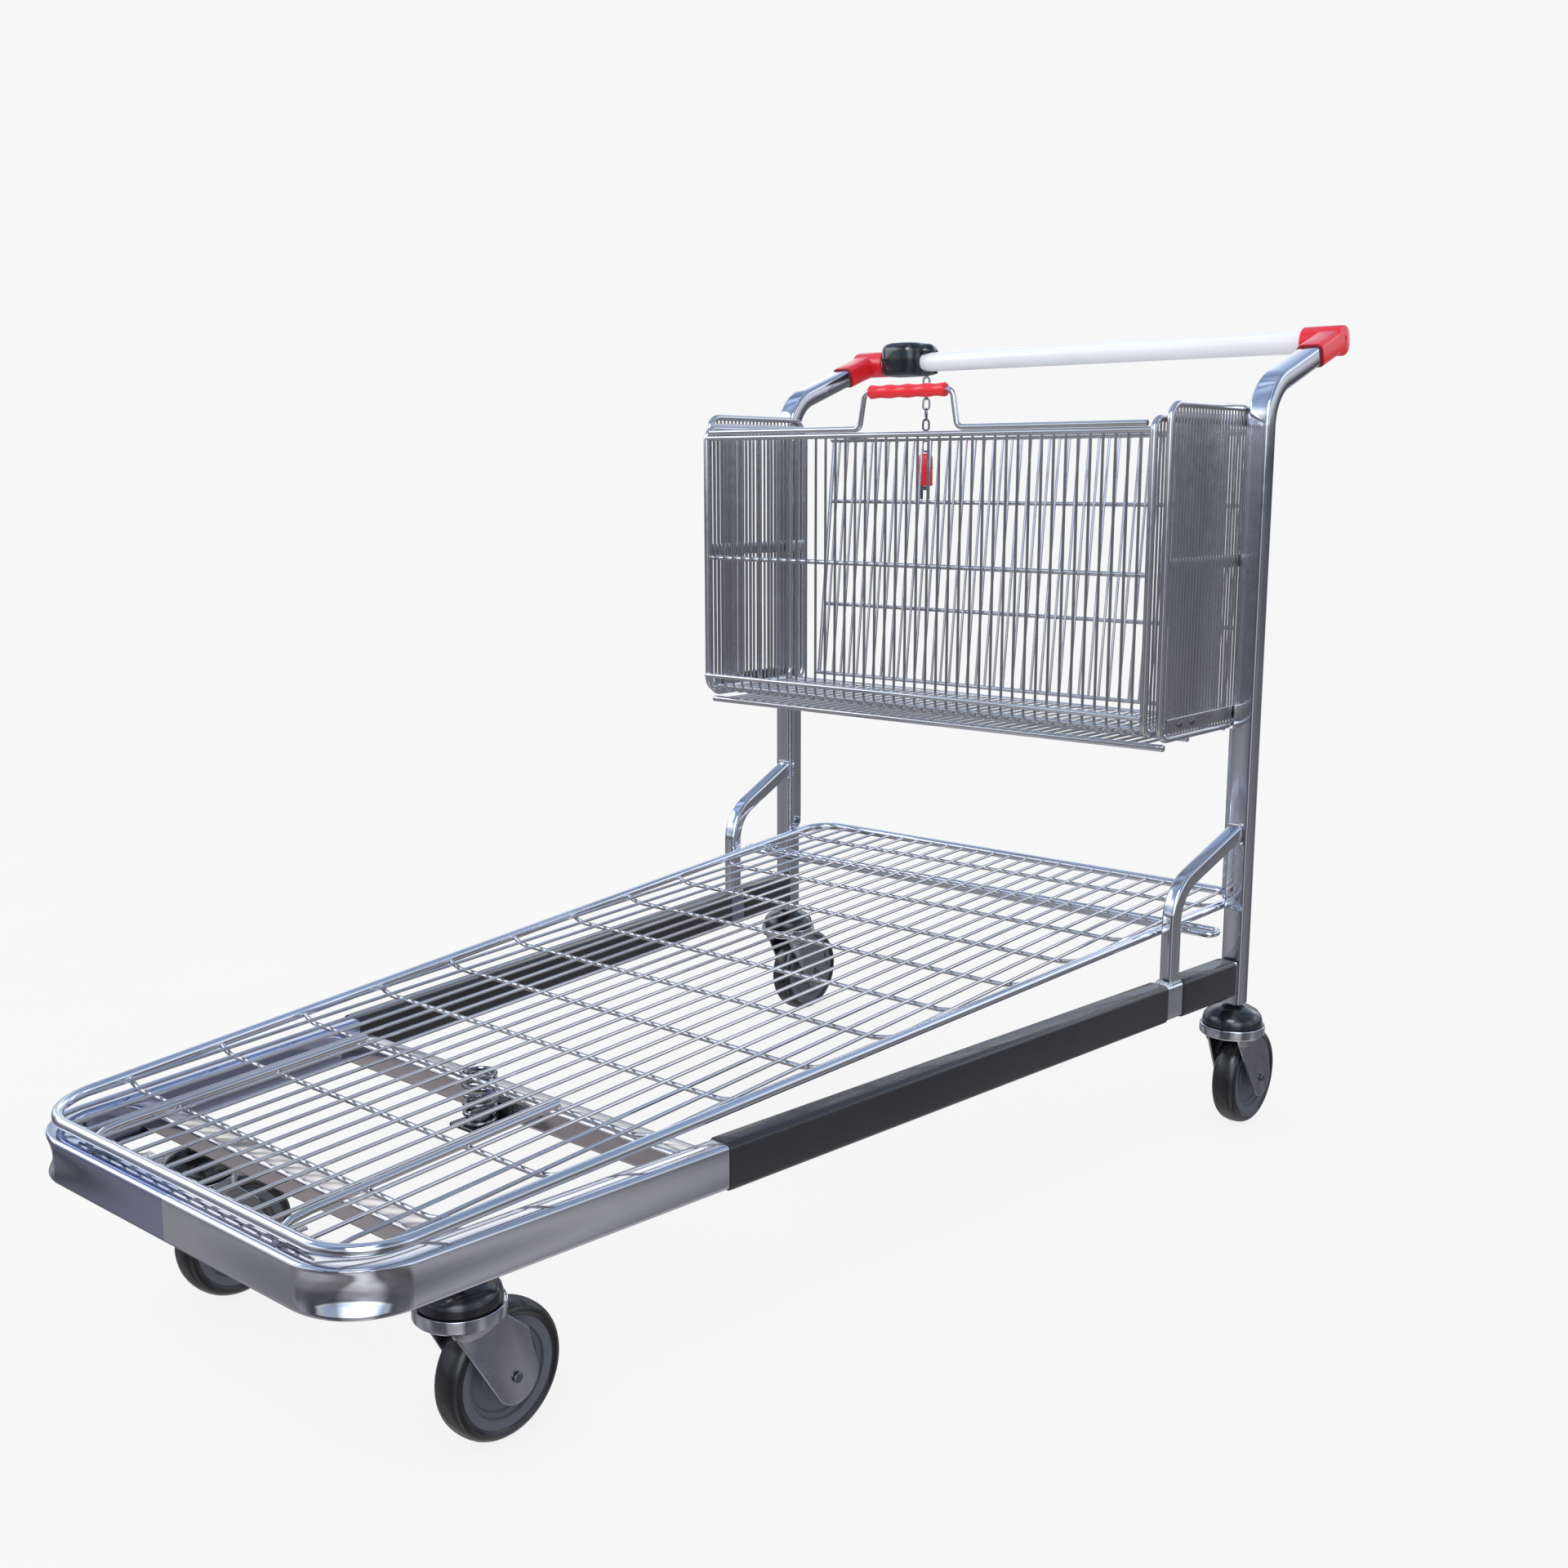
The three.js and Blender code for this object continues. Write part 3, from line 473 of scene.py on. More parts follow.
# ------------------------------------------------------------------ braces and uprights
def brace():
    """A flat bar that stands on the side tube and leans back to the upright."""
    y0 = BRACE_Y
    away = (math.sin(SIDE_ANGLE), math.cos(SIDE_ANGLE))

    def at(run, z):
        return (side_x(y0) + away[0] * run, y0 + away[1] * run, z)

    path = bend([at(0, 224), at(0, 336), at(136, 390.2)], 55, 14)
    across = (away[1], -away[0], 0)
    return Shape().sweep(path, rounded_rect(20, 18, 4.5, 5), up=across)


def weld_line(shape, a, b, size, count):
    a, b = np.asarray(a, float), np.asarray(b, float)
    for k in range(count):
        shape.bead(a + (b - a) * k / (count - 1), size, 10)
    return shape


def brace_welds():
    shape = Shape()
    for x in (344.5, 362.8):
        weld_line(shape, (x, -154, 225.5), (x, -136, 225.5), (2.6, 3.2, 2.2), 7)
    for z in (375.5, 399):
        weld_line(shape, (360, -13.0, z), (375, -13.0, z), (3, 2.5, 2.6), 6)
    return shape


def upright():
    end = 27.0
    run = (HANDLE_Y - end * math.cos(SLANT), HANDLE_Z - end * math.sin(SLANT))
    path = bend([(UPRIGHT_X, 0, 168.8), (UPRIGHT_X, 0, ELBOW_Z), (UPRIGHT_X, *run)], 60, 22)
    return Shape().sweep(path, rounded_rect(24, 29, 5, 5), up=(1, 0, 0))


def upright_strip():
    """A flat bar on the upright's inner face, with a round lower end."""
    outline = [(8, 518), (-8, 518)]
    outline += [(8 * math.cos(a), 308 + 8 * math.sin(a)) for a in np.linspace(math.pi, 2 * math.pi, 13)]
    return Shape().rings([[(x, y, z) for y, z in outline] for x in (351.3, 355.4)])


def strip_bolt():
    return Shape().lathe([(0, 0), (3.6, 0.2), (5, 1.2), (5.2, 3)], (348.5, 0, 309), (1, 0, 0), 20)


for side, tag in SIDES:
    make(f"brace_bar_{tag}", sided(brace(), side), chrome, "frame", "chrome", f"brace_{tag}")
    make(f"brace_welds_{tag}", sided(brace_welds(), side), zinc_plate, "frame", "chrome")
    make(f"upright_tube_{tag}", sided(upright(), side), chrome, "frame", "chrome", f"upright_{tag}")
    make(f"strip_{tag}", sided(upright_strip(), side), chrome, "frame", "chrome", f"upright_strip_{tag}")
    make(f"strip_bolt_{tag}", sided(strip_bolt(), side), dark_steel, "frame", "dark_steel")


# ------------------------------------------------------------------ handle
handle = Shape()
handle.lathe(
    [(0, -349.5), (HANDLE_RADIUS - 0.5, -349.5), (HANDLE_RADIUS, -348), (HANDLE_RADIUS, 348),
     (HANDLE_RADIUS - 0.5, 349.5), (0, 349.5)],
    (0, HANDLE_Y, HANDLE_Z), (1, 0, 0), 56,
)
make("handle_bar", handle, white_coat, "frame", "white_coat", "handle_tube")


def connector():
    """A collar round the handle's end, with a socket that takes the slanted upright."""
    shape = Shape()
    shape.lathe(
        [(14.2, 334.2), (18.2, 334.2), (19, 335.2), (19, 384.5), (18.2, 386.6), (17, 387), (7, 387),
         (6, 385.6), (0, 385.6)],
        (0, HANDLE_Y, HANDLE_Z), (1, 0, 0), 56,
    )
    along = np.array((0, math.cos(SLANT), math.sin(SLANT)))
    axis_end = np.array((UPRIGHT_X, HANDLE_Y, HANDLE_Z))
    stations = [(-66, 0.95), (-65.4, 0.985), (-64, 1), (-42, 1), (-26, 1.02), (-12, 1.06), (0, 1.08)]
    outline = rounded_rect(30, 35, 8, 6)
    path = [axis_end + along * s for s, _ in stations]
    shape.sweep(path, lambda i: outline * (stations[i][1], 1.0), up=(1, 0, 0))
    return shape


def connector_mouth_shade():
    """A darker red ring round the socket's mouth: painted shade on the mouth's edge."""
    along = np.array((0, math.cos(SLANT), math.sin(SLANT)))
    mouth = np.array((UPRIGHT_X, HANDLE_Y, HANDLE_Z)) - along * 66.6
    path = [mouth, mouth + along * 0.9]
    return Shape().sweep(path, rounded_rect(28.6, 33.6, 7, 6), up=(1, 0, 0))


def connector_screw():
    profile = [(5.2, 384.6), (5.2, 385.9), (4.4, 386.5), (2.2, 386.6), (2.0, 385.4), (0, 385.4)]
    return Shape().lathe(profile, (0, HANDLE_Y, HANDLE_Z), (1, 0, 0), 24)


# A darker, rougher red: painted shade for the socket's mouth.
red_painted_shade = plastic("red_painted_shade", (0.22, 0.012, 0.016), (0.3, 0.4), 300, 0.00002)
for side, tag in SIDES:
    make(f"connector_{tag}", sided(connector(), side), red_gloss, "frame", "red_plastic",
         f"handle_connector_{tag}")
    make(f"connector_mouth_shade_{tag}", sided(connector_mouth_shade(), side), red_painted_shade, "frame", "red_plastic")
    make(f"screw_{tag}", sided(connector_screw(), side), dark_steel, "frame", "dark_steel",
         f"connector_screw_{tag}")


# ------------------------------------------------------------------ coin lock, chain and key
def smooth_loop(corners, radius, steps=6):
    return bend([(x, y, 0) for x, y in corners], radius, steps, closed=True)[:, :2]


def stacked(outline, levels):
    """A solid from one outline at several heights, drawn in towards its middle."""
    middle = (outline.max(0) + outline.min(0)) / 2
    half = (outline.max(0) - outline.min(0)) / 2
    rings = []
    for z, inset in levels:
        scale = (half - inset) / half
        ring = (outline - middle) * scale + middle
        rings.append(np.column_stack([ring, np.full(len(ring), z)]))
    return rings


def lock_body():
    shape = Shape()
    front = smooth_loop([(-331, 218), (-331, 158.5), (-262.5, 158.5), (-260.5, 218)], [8, 24, 26, 6])
    shape.rings(stacked(front, [
        (974.5, 7), (975.5, 4), (978, 1.2), (982, 0), (1010, 0), (1015, 0.8),
        (1019, 3), (1022, 7), (1023.6, 13),
    ]))
    # The back and the lip that lie over and under the handle tube.
    over = smooth_loop([(-300, 218.5), (-300, 181), (-258, 176), (-244.5, 191), (-257, 218.5)],
                       [4, 10, 20, 7, 6])
    shape.rings(stacked(over, [(1006.5, 1), (1009, 0), (1013, 0.6), (1018, 4),
                               (1021, 10)]))
    under = smooth_loop([(-300, 218.5), (-300, 183), (-262, 180), (-249, 192), (-259, 218.5)],
                        [4, 10, 18, 7, 6])
    shape.rings(stacked(under, [(976.0, 5), (977.2, 1.5), (979, 0), (981, 0)]))
    back = smooth_loop([(-300, 218.5), (-300, 206.5), (-250, 206.5), (-257, 218.5)], [3, 1, 1, 6])
    shape.rings(stacked(back, [(978, 0), (1012, 0)]))
    return shape


make("lock_body", lock_body(), lock_black, "frame", "black_plastic", "coin_lock")
# A near-black strip along the coin slot: painted shade for the slot's opening, which is not cut into the
# lock.
slot_shade_line = Shape()
slot_corners = [(x, y, COIN_SLOT_Z) for x, y in ((-331.2, 184), (-331.2, 158.3), (-305, 158.3))]
slot_path = bend(slot_corners, 24.0, 10)
slot_shade_line.sweep(slot_path, rounded_rect(0.5, 3.2, 0.2, 2), up=(0, 0, 1))
make("coin_slot_shade", slot_shade_line, slot_painted_shade, "frame", "black_plastic")

CHAIN_X, CHAIN_Y, CHAIN_TOP = -262.7, 197.0, 973.7
LINK_PITCH, LINK_HALF, LINK_WIRE = 15.6, 9.8, 1.55


def chain():
    shape = Shape()
    for k in range(7):
        middle = CHAIN_TOP - LINK_HALF - k * LINK_PITCH
        a = math.radians(45 + 90 * (k % 2) + 7 * math.sin(2.1 * k))
        across = np.array((math.cos(a), math.sin(a), 0))
        reach = LINK_HALF - LINK_WIRE
        corners = [across * sx * 4.6 + np.array((0, 0, sz * reach))
                   for sx, sz in ((1, 1), (-1, 1), (-1, -1), (1, -1))]
        path = bend(corners, 4.5, 7, closed=True) + (CHAIN_X, CHAIN_Y, middle)
        shape.tube(path, LINK_WIRE, 10, closed=True)
    return shape


make("chain_links", chain(), spring_steel, "lock_chain", "dark_steel", "lock_chain")

tag_low, tag_high = 810.6, 859.2
tag_outline = rounded_rect(24, 14.5, 6, 6)
levels = [(tag_high, 0.35), (tag_high - 1.6, 0.70), (tag_high - 4.5, 0.92), (836, 0.98)]
for rib in range(7):
    z = 833 - rib * 3.1
    levels += [(z, 0.92), (z - 0.5, 1.0), (z - 2.0, 1.0), (z - 2.5, 0.92)]
levels += [(tag_low + 1.0, 0.95), (tag_low, 0.84)]
tag_shape = Shape().rings([
    np.column_stack([tag_outline * s + (CHAIN_X, CHAIN_Y), np.full(len(tag_outline), z)])
    for z, s in levels[::-1]
])
make("tag_body", tag_shape, red_gloss, "lock_key", "red_plastic", "key_tag")
key_shape = Shape()
for x in (-6.2, 6.2):
    key_shape.sweep(
        [(CHAIN_X + x, CHAIN_Y, 812), (CHAIN_X + x, CHAIN_Y, 791.5), (CHAIN_X + x, CHAIN_Y, 790.2)],
        lambda i: rounded_rect(3.6, 3.4, 0.8, 2) * (0.7 if i == 2 else 1), up=(1, 0, 0),
    )
key_shape.sweep([(CHAIN_X, CHAIN_Y, 810.2), (CHAIN_X, CHAIN_Y, 804)], rounded_rect(3.4, 14, 0.8, 2),
                up=(1, 0, 0))
make("key_blade", key_shape, dark_steel, "lock_key", "dark_steel", "lock_key")


# ------------------------------------------------------------------ deck
DECK_ANGLE = math.atan(DECK_SLOPE)


def on_deck(points):
    """Deck coordinates (across, along, above the rim's centre) to trolley coordinates."""
    p = np.atleast_2d(np.asarray(points, float))
    c, s = math.cos(DECK_ANGLE), math.sin(DECK_ANGLE)
    return np.column_stack([p[:, 0], DECK_Y + c * p[:, 1] - s * p[:, 2],
                            DECK_Z + s * p[:, 1] + c * p[:, 2]])


def deck_half(y):
    return DECK_NOSE_HALF + (DECK_REAR_HALF - DECK_NOSE_HALF) * y / DECK_LENGTH


def deck_rim():
    corners = [(DECK_NOSE_HALF, 0, 0), (DECK_REAR_HALF, DECK_LENGTH, 0),
               (-DECK_REAR_HALF, DECK_LENGTH, 0), (-DECK_NOSE_HALF, 0, 0)]
    path = bend(on_deck(corners), [RIM_CORNER, 40, 40, RIM_CORNER], 16, closed=True)
    return Shape().tube(path, RIM_RADIUS, 20, closed=True)


def deck_wires():
    shape = Shape()
    slope = (DECK_REAR_HALF - DECK_NOSE_HALF) / DECK_LENGTH
    for k in range(-12, 13):
        x = LONG_PITCH * k
        into = max(0, abs(x) - DECK_NOSE_HALF + 0.92 * RIM_CORNER)
        if into == 0:
            start = [(x, 2.5, 0.6)]
        else:
            corner = RIM_CORNER - math.sqrt(max(0, RIM_CORNER ** 2 - into ** 2))
            y = max((abs(x) - DECK_NOSE_HALF + 2) / slope, corner)
            start = [(x, y, -1.2), (x, y + 22, 0.6)]
        inset = 40 - math.sqrt(max(0, 1600 - max(0, abs(x) - 313) ** 2))
        shape.tube(on_deck(start + [(x, DECK_LENGTH - inset, 0.6)]), LONG_WIRE, 10)
    # A thin rod under the wires, just behind the rim.
    nose_reach = DECK_NOSE_HALF - RIM_CORNER
    shape.rod(*on_deck([(-nose_reach, 10, -3.4), (nose_reach, 10, -3.4)]), 2.0, 10)
    for y in CROSS_WIRES:
        reach = deck_half(y) - 4.5
        path = [(-reach, y + 5, -0.5), (-reach + 10, y + 3, -3.2), (-reach + 26, y, -5.0),
                (reach - 26, y, -5.0), (reach - 10, y + 3, -3.2), (reach, y + 5, -0.5)]
        shape.tube(bend(on_deck(path), 14, 4), CROSS_WIRE, 12)
    for x in (-HINGE_ROD_X, HINGE_ROD_X):
        path = [(x, -1.0, -8.5), (x, 3.5, -6.0), (x, 16, 0.2), (x, 34, 1.6), (x, 304, 1.6)]
        shape.tube(bend(on_deck(path), 6, 4), 3.7, 14)
    return shape


make("deck_frame", deck_rim(), chrome, "deck", "chrome", "deck_grid")
make("deck_wires", deck_wires(), chrome_wire, "deck", "chrome", "deck_grid")

loop_y = SUPPORT_Y - DECK_Y
loop_corners = [(side * SUPPORT_HALF, loop_y + side * turn * 10.5, -12.3)
                for side, turn in ((1, -1), (1, 1), (-1, -1), (-1, 1))]
loop = Shape().tube(bend(on_deck(loop_corners), 10.2, 8, closed=True), 4.0, 14, closed=True)
make("support_loop", loop, chrome, "deck", "chrome", "deck_support_loop")


def hinge_lug():
    shape = Shape()
    shape.sweep([(112, -1234, 212.5), (112, -1201, 212.5)], rounded_rect(26, 3, 1.3), up=(0, 0, 1))
    shape.lathe([(6.8, 0), (7, 1.6), (6.2, 3.4), (4, 4.6), (0, 5)], (112, -1216.5, 213.8), sides=28)
    shape.lathe([(5.5, 0), (6, -0.6), (6, -5.5), (5, -7.5), (0, -7.8)], (112, -1216.5, 211.5), sides=28)
    return shape


# The lugs take the warm chrome copy, a painted warm reflection.
make("lug_left", hinge_lug(), chrome_painted_warm_reflection, "frame", "chrome", "hinge_lug_left")
make("lug_right", hinge_lug().mirrored(), chrome_painted_warm_reflection, "frame", "chrome", "hinge_lug_right")

spring = Shape().helix((0, SPRING_Y, 0), 15.9, 2.3, SPRING_LOW, SPRING_HIGH, 6.6)
spring_coil = make("spring_coil", spring, spring_steel, None, "dark_steel", "deck_spring")
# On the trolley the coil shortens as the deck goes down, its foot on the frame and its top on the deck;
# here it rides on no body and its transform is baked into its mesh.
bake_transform(spring_coil)
seat = Shape()
seat.sweep([(-24, -915.5, 185.6), (24, -915.5, 185.6)], rounded_rect(40, 4, 1.4), up=(0, 0, 1))
seat.sweep([(-24, -895.9, 196), (24, -895.9, 196)], rounded_rect(3, 20, 1.2), up=(0, 0, 1))
seat.lathe([(11.5, 0), (11.5, 9), (10, 11.5), (0, 12)], (0, SPRING_Y, 187.2), sides=28)
make("spring_base", seat, dark_steel, "frame", "dark_steel", "spring_seat")


# ------------------------------------------------------------------ basket
def loop_path(x, front, rear, low, high, radius):
    corners = [(x, front, low), (x, rear, low), (x, rear, high), (x, front, high)]
    return bend(corners, radius, 10, closed=True)


def side_panel():
    shape = Shape()
    path = loop_path(BASKET_X, BASKET_FRONT, BASKET_REAR, BASKET_LOW, BASKET_HIGH, 20)
    shape.tube(path, 4.0, 16, closed=True)
    for k in range(25):
        y = BASKET_FRONT + 9.5 + (BASKET_REAR - BASKET_FRONT - 19) * k / 24
        corner = max(0, 14 - min(y - BASKET_FRONT, BASKET_REAR - y)) * 0.55
        shape.rod((BASKET_X, y, BASKET_LOW + corner), (BASKET_X, y, BASKET_HIGH - corner), WING_WIRE)
    for low, high in ((884, 897), (716, 732)):
        z, h = (low + high) / 2, high - low
        shape.sweep([(347.6, BASKET_FRONT + 2, z), (347.6, BASKET_REAR - 2, z)],
                    rounded_rect(2.4, h, 1.0), up=(0, 0, 1))
    return shape


def side_plate():
    return Shape().sweep([(354, BASKET_FRONT + 14, 539), (354, BASKET_REAR - 14, 539)],
                         rounded_rect(2, 16, 0.8), up=(0, 0, 1))


def plate_rivets():
    shape = Shape()
    for y in RIVETS_Y:
        shape.lathe([(4.6, 354.6), (4.6, 355.6), (3.6, 356.9), (1.8, 357.5), (0, 357.6)],
                    (0, y, 539), (1, 0, 0), 20)
    return shape


for side, tag in SIDES:
    make(f"side_panel_{tag}", sided(side_panel(), side), chrome_wire, "frame", "chrome",
         f"basket_side_{tag}")
    make(f"side_plate_{tag}", sided(side_plate(), side), zinc_plate, "frame", "steel",
         f"basket_plate_{tag}")
    make(f"plate_rivets_{tag}", sided(plate_rivets(), side), dark_steel, "frame", "dark_steel")


def basket_floor():
    shape = Shape()
    shape.rod((-354, -182, 514), (354, -182, 514), 4.2, 16, dome=1.2)
    shape.rod((-334, -83, 511.2), (334, -83, 511.2), 3.0, 14)
    shape.rod((-333, 16, 514), (333, 16, 514), 3.0, 14)
    for k in range(-20, 21):
        x = BASKET_PITCH * k
        shape.rod((x, -184.5, 517.0), (x, 18, 516.8), WIRE)
    return shape


make("floor_grid", basket_floor(), chrome_wire, "frame", "chrome", "basket_floor")


def flap():
    """The rear wall, which hangs from its top rod and leans back."""
    low, high = np.array((20.0, 536.0)), np.array((54.0, 878.0))
    run = high - low
    behind = unit(np.array((run[1], -run[0])))

    def at(x, share, back=0.0):
        y, z = low + run * share + behind * back
        return (x, y, z)

    shape = Shape()
    for share, radius, back in ((0, 2.8, 0), (0.30, 2.8, 4.6), (0.74, 2.8, 4.6), (1, 4.0, 0)):
        shape.rod(at(-FLAP_HALF - 1.5, share, back), at(FLAP_HALF + 1.5, share, back), radius, 14,
                  dome=0.8)
    for side in (-1, 1):
        shape.rod(at(side * (FLAP_HALF - 2), 0, 1.4), at(side * (FLAP_HALF - 2), 1, 1.4), 2.8, 12)
    for k in range(43):
        x = -315 + 15.0 * k
        shape.rod(at(x, 0), at(x, 1), WIRE)
    return shape


make("flap_grid", flap(), chrome_wire, "basket_flap", "chrome", "basket_flap")


def cage():
    """The front wall with its two wings. Its wires curl back under it to make a floor."""
    shape = Shape()
    for side in (-1, 1):
        path = loop_path(side * CAGE_X, CAGE_FRONT, CAGE_REAR, CAGE_LOW, CAGE_HIGH, 16)
        shape.tube(path, 4.0, 14, closed=True)
        for k in range(21):
            y = CAGE_FRONT + 8.5 + (CAGE_REAR - CAGE_FRONT - 17) * k / 20
            x = side * CAGE_X
            shape.rod((x, y, CAGE_LOW + 1), (x, y, CAGE_HIGH - 1), WING_WIRE)
    shape.rod((-CAGE_X, CAGE_FRONT, 876), (CAGE_X, CAGE_FRONT, 876), 3.6, 14)
    shape.rod((-CAGE_X, CAGE_FRONT + 4.9, 714), (CAGE_X, CAGE_FRONT + 4.9, 714), 3.0, 12)
    shape.rod((-CAGE_X, CAGE_FRONT - 4.9, 551), (CAGE_X, CAGE_FRONT - 4.9, 551), 3.0, 14)
    shape.rod((-CAGE_X, -191, 534.2), (CAGE_X, -191, 534.2), 3.0, 14)
    shape.rod((-CAGE_X, CAGE_REAR, CAGE_LOW), (CAGE_X, CAGE_REAR, CAGE_LOW), 3.0, 12)
    for k in range(-20, 21):
        x = BASKET_PITCH * k
        path = bend([(x, CAGE_FRONT, 876), (x, CAGE_FRONT, 529.6), (x, CAGE_REAR, 529.6)], 15, 6)
        shape.tube(path, WIRE, 10)
    return shape


make("cage_grid", cage(), chrome_wire, "basket_cage", "chrome", "basket_cage")

GRIP_Z, GRIP_HALF = 929.0, 58.0
foot = 883.6
bow = bend(
    [(-CAGE_X + 8, CAGE_FRONT, foot), (-75, CAGE_FRONT, foot), (-67, CAGE_FRONT, GRIP_Z),
     (67, CAGE_FRONT, GRIP_Z), (75, CAGE_FRONT, foot), (CAGE_X - 8, CAGE_FRONT, foot)], 9, 8,
)
make("grip_bow", Shape().tube(bow, 3.6, 14), chrome_wire, "basket_cage", "chrome", "grip_wire")
grip_profile = [(3.6, -GRIP_HALF), (6.6, -GRIP_HALF), (8.2, -GRIP_HALF + 1.2)]
for k in range(0, 49):
    s = k / 48
    grip_profile.append((8.05 + 0.55 * math.cos(2 * math.pi * 4 * s), (2 * s - 1) * (GRIP_HALF - 1.8)))
grip_profile += [(8.2, GRIP_HALF - 1.2), (6.6, GRIP_HALF), (3.6, GRIP_HALF)]
grip = Shape().lathe(grip_profile, (0, CAGE_FRONT, GRIP_Z), (1, 0, 0), 32)
make("grip_sleeve", grip, red_gloss, "basket_cage", "red_plastic", "basket_grip")


# ------------------------------------------------------------------ castors
def castor_dome(x, y, stem_top):
    profile = [(0, 134.3), (35.5, 134.3), (37.2, 138), (37.2, 146), (35.6, 152), (31.5, 157.5),
               (24, 162), (14, 165.2), (8.5, 166), (8, stem_top), (0, stem_top)]
    return Shape().lathe(profile, (x, y, 0), sides=56)


def castor_pin(x, y):
    profile = [(0, 119.2), (7.5, 119.2), (9, 120.4), (9, 126.4), (5.6, 126.4), (5.6, 134.4), (0, 134.4)]
    return Shape().lathe(profile, (x, y, 0), sides=32)


def castor_ring(x, y):
    profile = [(6.2, 128.0), (36, 128.0), (39.0, 128.6), (40.4, 130.2), (40.4, 139.6), (40.0, 140.8),
               (39.3, 141), (38.7, 140.4), (38.7, 132.0), (6.2, 132.0)]
    return Shape().lathe(profile, (x, y, 0), sides=64, closed=True)


def fork_lean(z):
    """How far a fork plate stands out at a height, below the ring."""
    return FORK_SPLAY * min(1, max(0, (124 - z) / 50))


def fork_plate(x, y, side):
    """A pressed plate: round lower end, sloping front edge, and a swelling towards the ring."""
    edge = [(-27, 129.5), (30, 129.5), (33, 122), (TRAIL + 16, 102)]
    edge += [(TRAIL + 24 * math.cos(a), WHEEL_RADIUS + 24 * math.sin(a))
             for a in np.radians(np.linspace(25, -148, 18))]
    edge = bend([(0, a, b) for a, b in edge], 2.0, 2, closed=True)[:, 1:]
    rings = []
    for depth, inset in ((22.0, 0.9), (21.4, 0.0), (19.4, 0.0), (19.0, 0.6)):
        middle = np.array((24.0, 88.0))
        ring = middle + (edge - middle) * (1 - inset / 45)
        rings.append([(x + side * (depth + fork_lean(b)), y + a, b) for a, b in ring])
    shape = Shape()
    shape.rings(rings if side > 0 else rings[::-1])
    collar = [[(x + side * d, y + a, b) for a, b in collar_outline(s)]
              for d, s in ((26.5, 0.55), (25.2, 0.8), (23.2, 0.96), (21.2, 1.0))]
    shape.rings(collar if side > 0 else collar[::-1])
    return shape


def collar_outline(scale):
    """The pressed swelling below the ring, where the plate turns out to meet it."""
    return [(27 * math.cos(a) * scale, 129 - 17 * math.sin(a) * scale)
            for a in np.linspace(0, math.pi, 17)]


def castor_bolt(x, y):
    shape = Shape()
    for side in (-1, 1):
        head = [(4.8, 21.5), (4.8, 22.6), (4.0, 23.3), (0, 23.4)]
        profile = [(r, side * (h + FORK_SPLAY)) for r, h in head]
        shape.lathe(profile, (x, y + TRAIL, WHEEL_RADIUS), (1, 0, 0), 24)
    return shape


def castor_disc(x, y):
    """The wheel's centre: rim, concentric steps, web and hub."""
    half = [(4.4, -18), (10.5, -18), (12, -17), (12.6, -10), (17, -8.2), (22, -7.6), (23, -6.4),
            (35.5, -6.4), (36.6, -8.6), (40.5, -9.6), (41.6, -12.4), (49, -14), (50.1, -13.6)]
    profile = half + [(r, -h) for r, h in reversed(half)]
    return Shape().lathe(profile, (x, y + TRAIL, WHEEL_RADIUS), (1, 0, 0), 72, closed=True)


def castor_tyre(x, y):
    half = [(50.3, -13.6), (51.5, -14.6), (54.0, -15.9), (56.5, -15.2), (58.6, -13.6), (60.4, -11.2),
            (61.6, -8.2), (62.3, -4.4), (WHEEL_RADIUS, 0)]
    profile = half + [(r, -h) for r, h in reversed(half[:-1])]
    return Shape().lathe(profile, (x, y + TRAIL, WHEEL_RADIUS), (1, 0, 0), 88, closed=True)


for corner, (x, y) in CASTORS.items():
    stem = 185.6 if corner.startswith("front") else 168.2
    swivel, wheel = f"castor_{corner}", f"wheel_{corner}"
    make(f"dome_{corner}", castor_dome(x, y, stem), black_gloss, "frame", "black_plastic",
         f"castor_dome_{corner}")
    make(f"pin_{corner}", castor_pin(x, y), zinc, "frame", "steel")
    make(f"ring_{corner}", castor_ring(x, y), chrome, swivel, "steel", f"castor_fork_{corner}")
    for side, tag in SIDES:
        make(f"fork_{corner}_{tag}", fork_plate(x, y, side), zinc, swivel,
             "steel", f"castor_fork_{corner}")
    make(f"bolt_{corner}", castor_bolt(x, y), dark_steel, swivel, "steel",
         f"castor_axle_{corner}")
    make(f"disc_{corner}", castor_disc(x, y), grey_disc, wheel, "grey_plastic",
         f"castor_wheel_{corner}")
    make(f"tyre_{corner}", castor_tyre(x, y), tyre_black, wheel, "rubber",
         f"castor_tyre_{corner}")


# ------------------------------------------------------------------ camera, floor and light
CAMERA_PLACE = (1276.9, -1950.1, 823.8)
CAMERA_AZIMUTH, CAMERA_ELEVATION = 40.32, 10.24
PANELS_FACE = 40.0


def camera():
    data = bpy.data.cameras.new("camera")
    data.lens, data.sensor_width, data.sensor_fit = 39.0, 36.0, "HORIZONTAL"
    data.clip_start, data.clip_end = 0.05, 60
    obj = bpy.data.objects.new("camera", data)
    bpy.context.scene.collection.objects.link(obj)
    azimuth, elevation = math.radians(CAMERA_AZIMUTH), math.radians(CAMERA_ELEVATION)
    back = Vector((math.sin(azimuth) * math.cos(elevation),
                   -math.cos(azimuth) * math.cos(elevation), math.sin(elevation)))
    obj.location = row([CAMERA_PLACE])[0]
    obj.rotation_mode = "QUATERNION"
    obj.rotation_quaternion = (-back).to_track_quat("-Z", "Y")
    bpy.context.scene.camera = obj


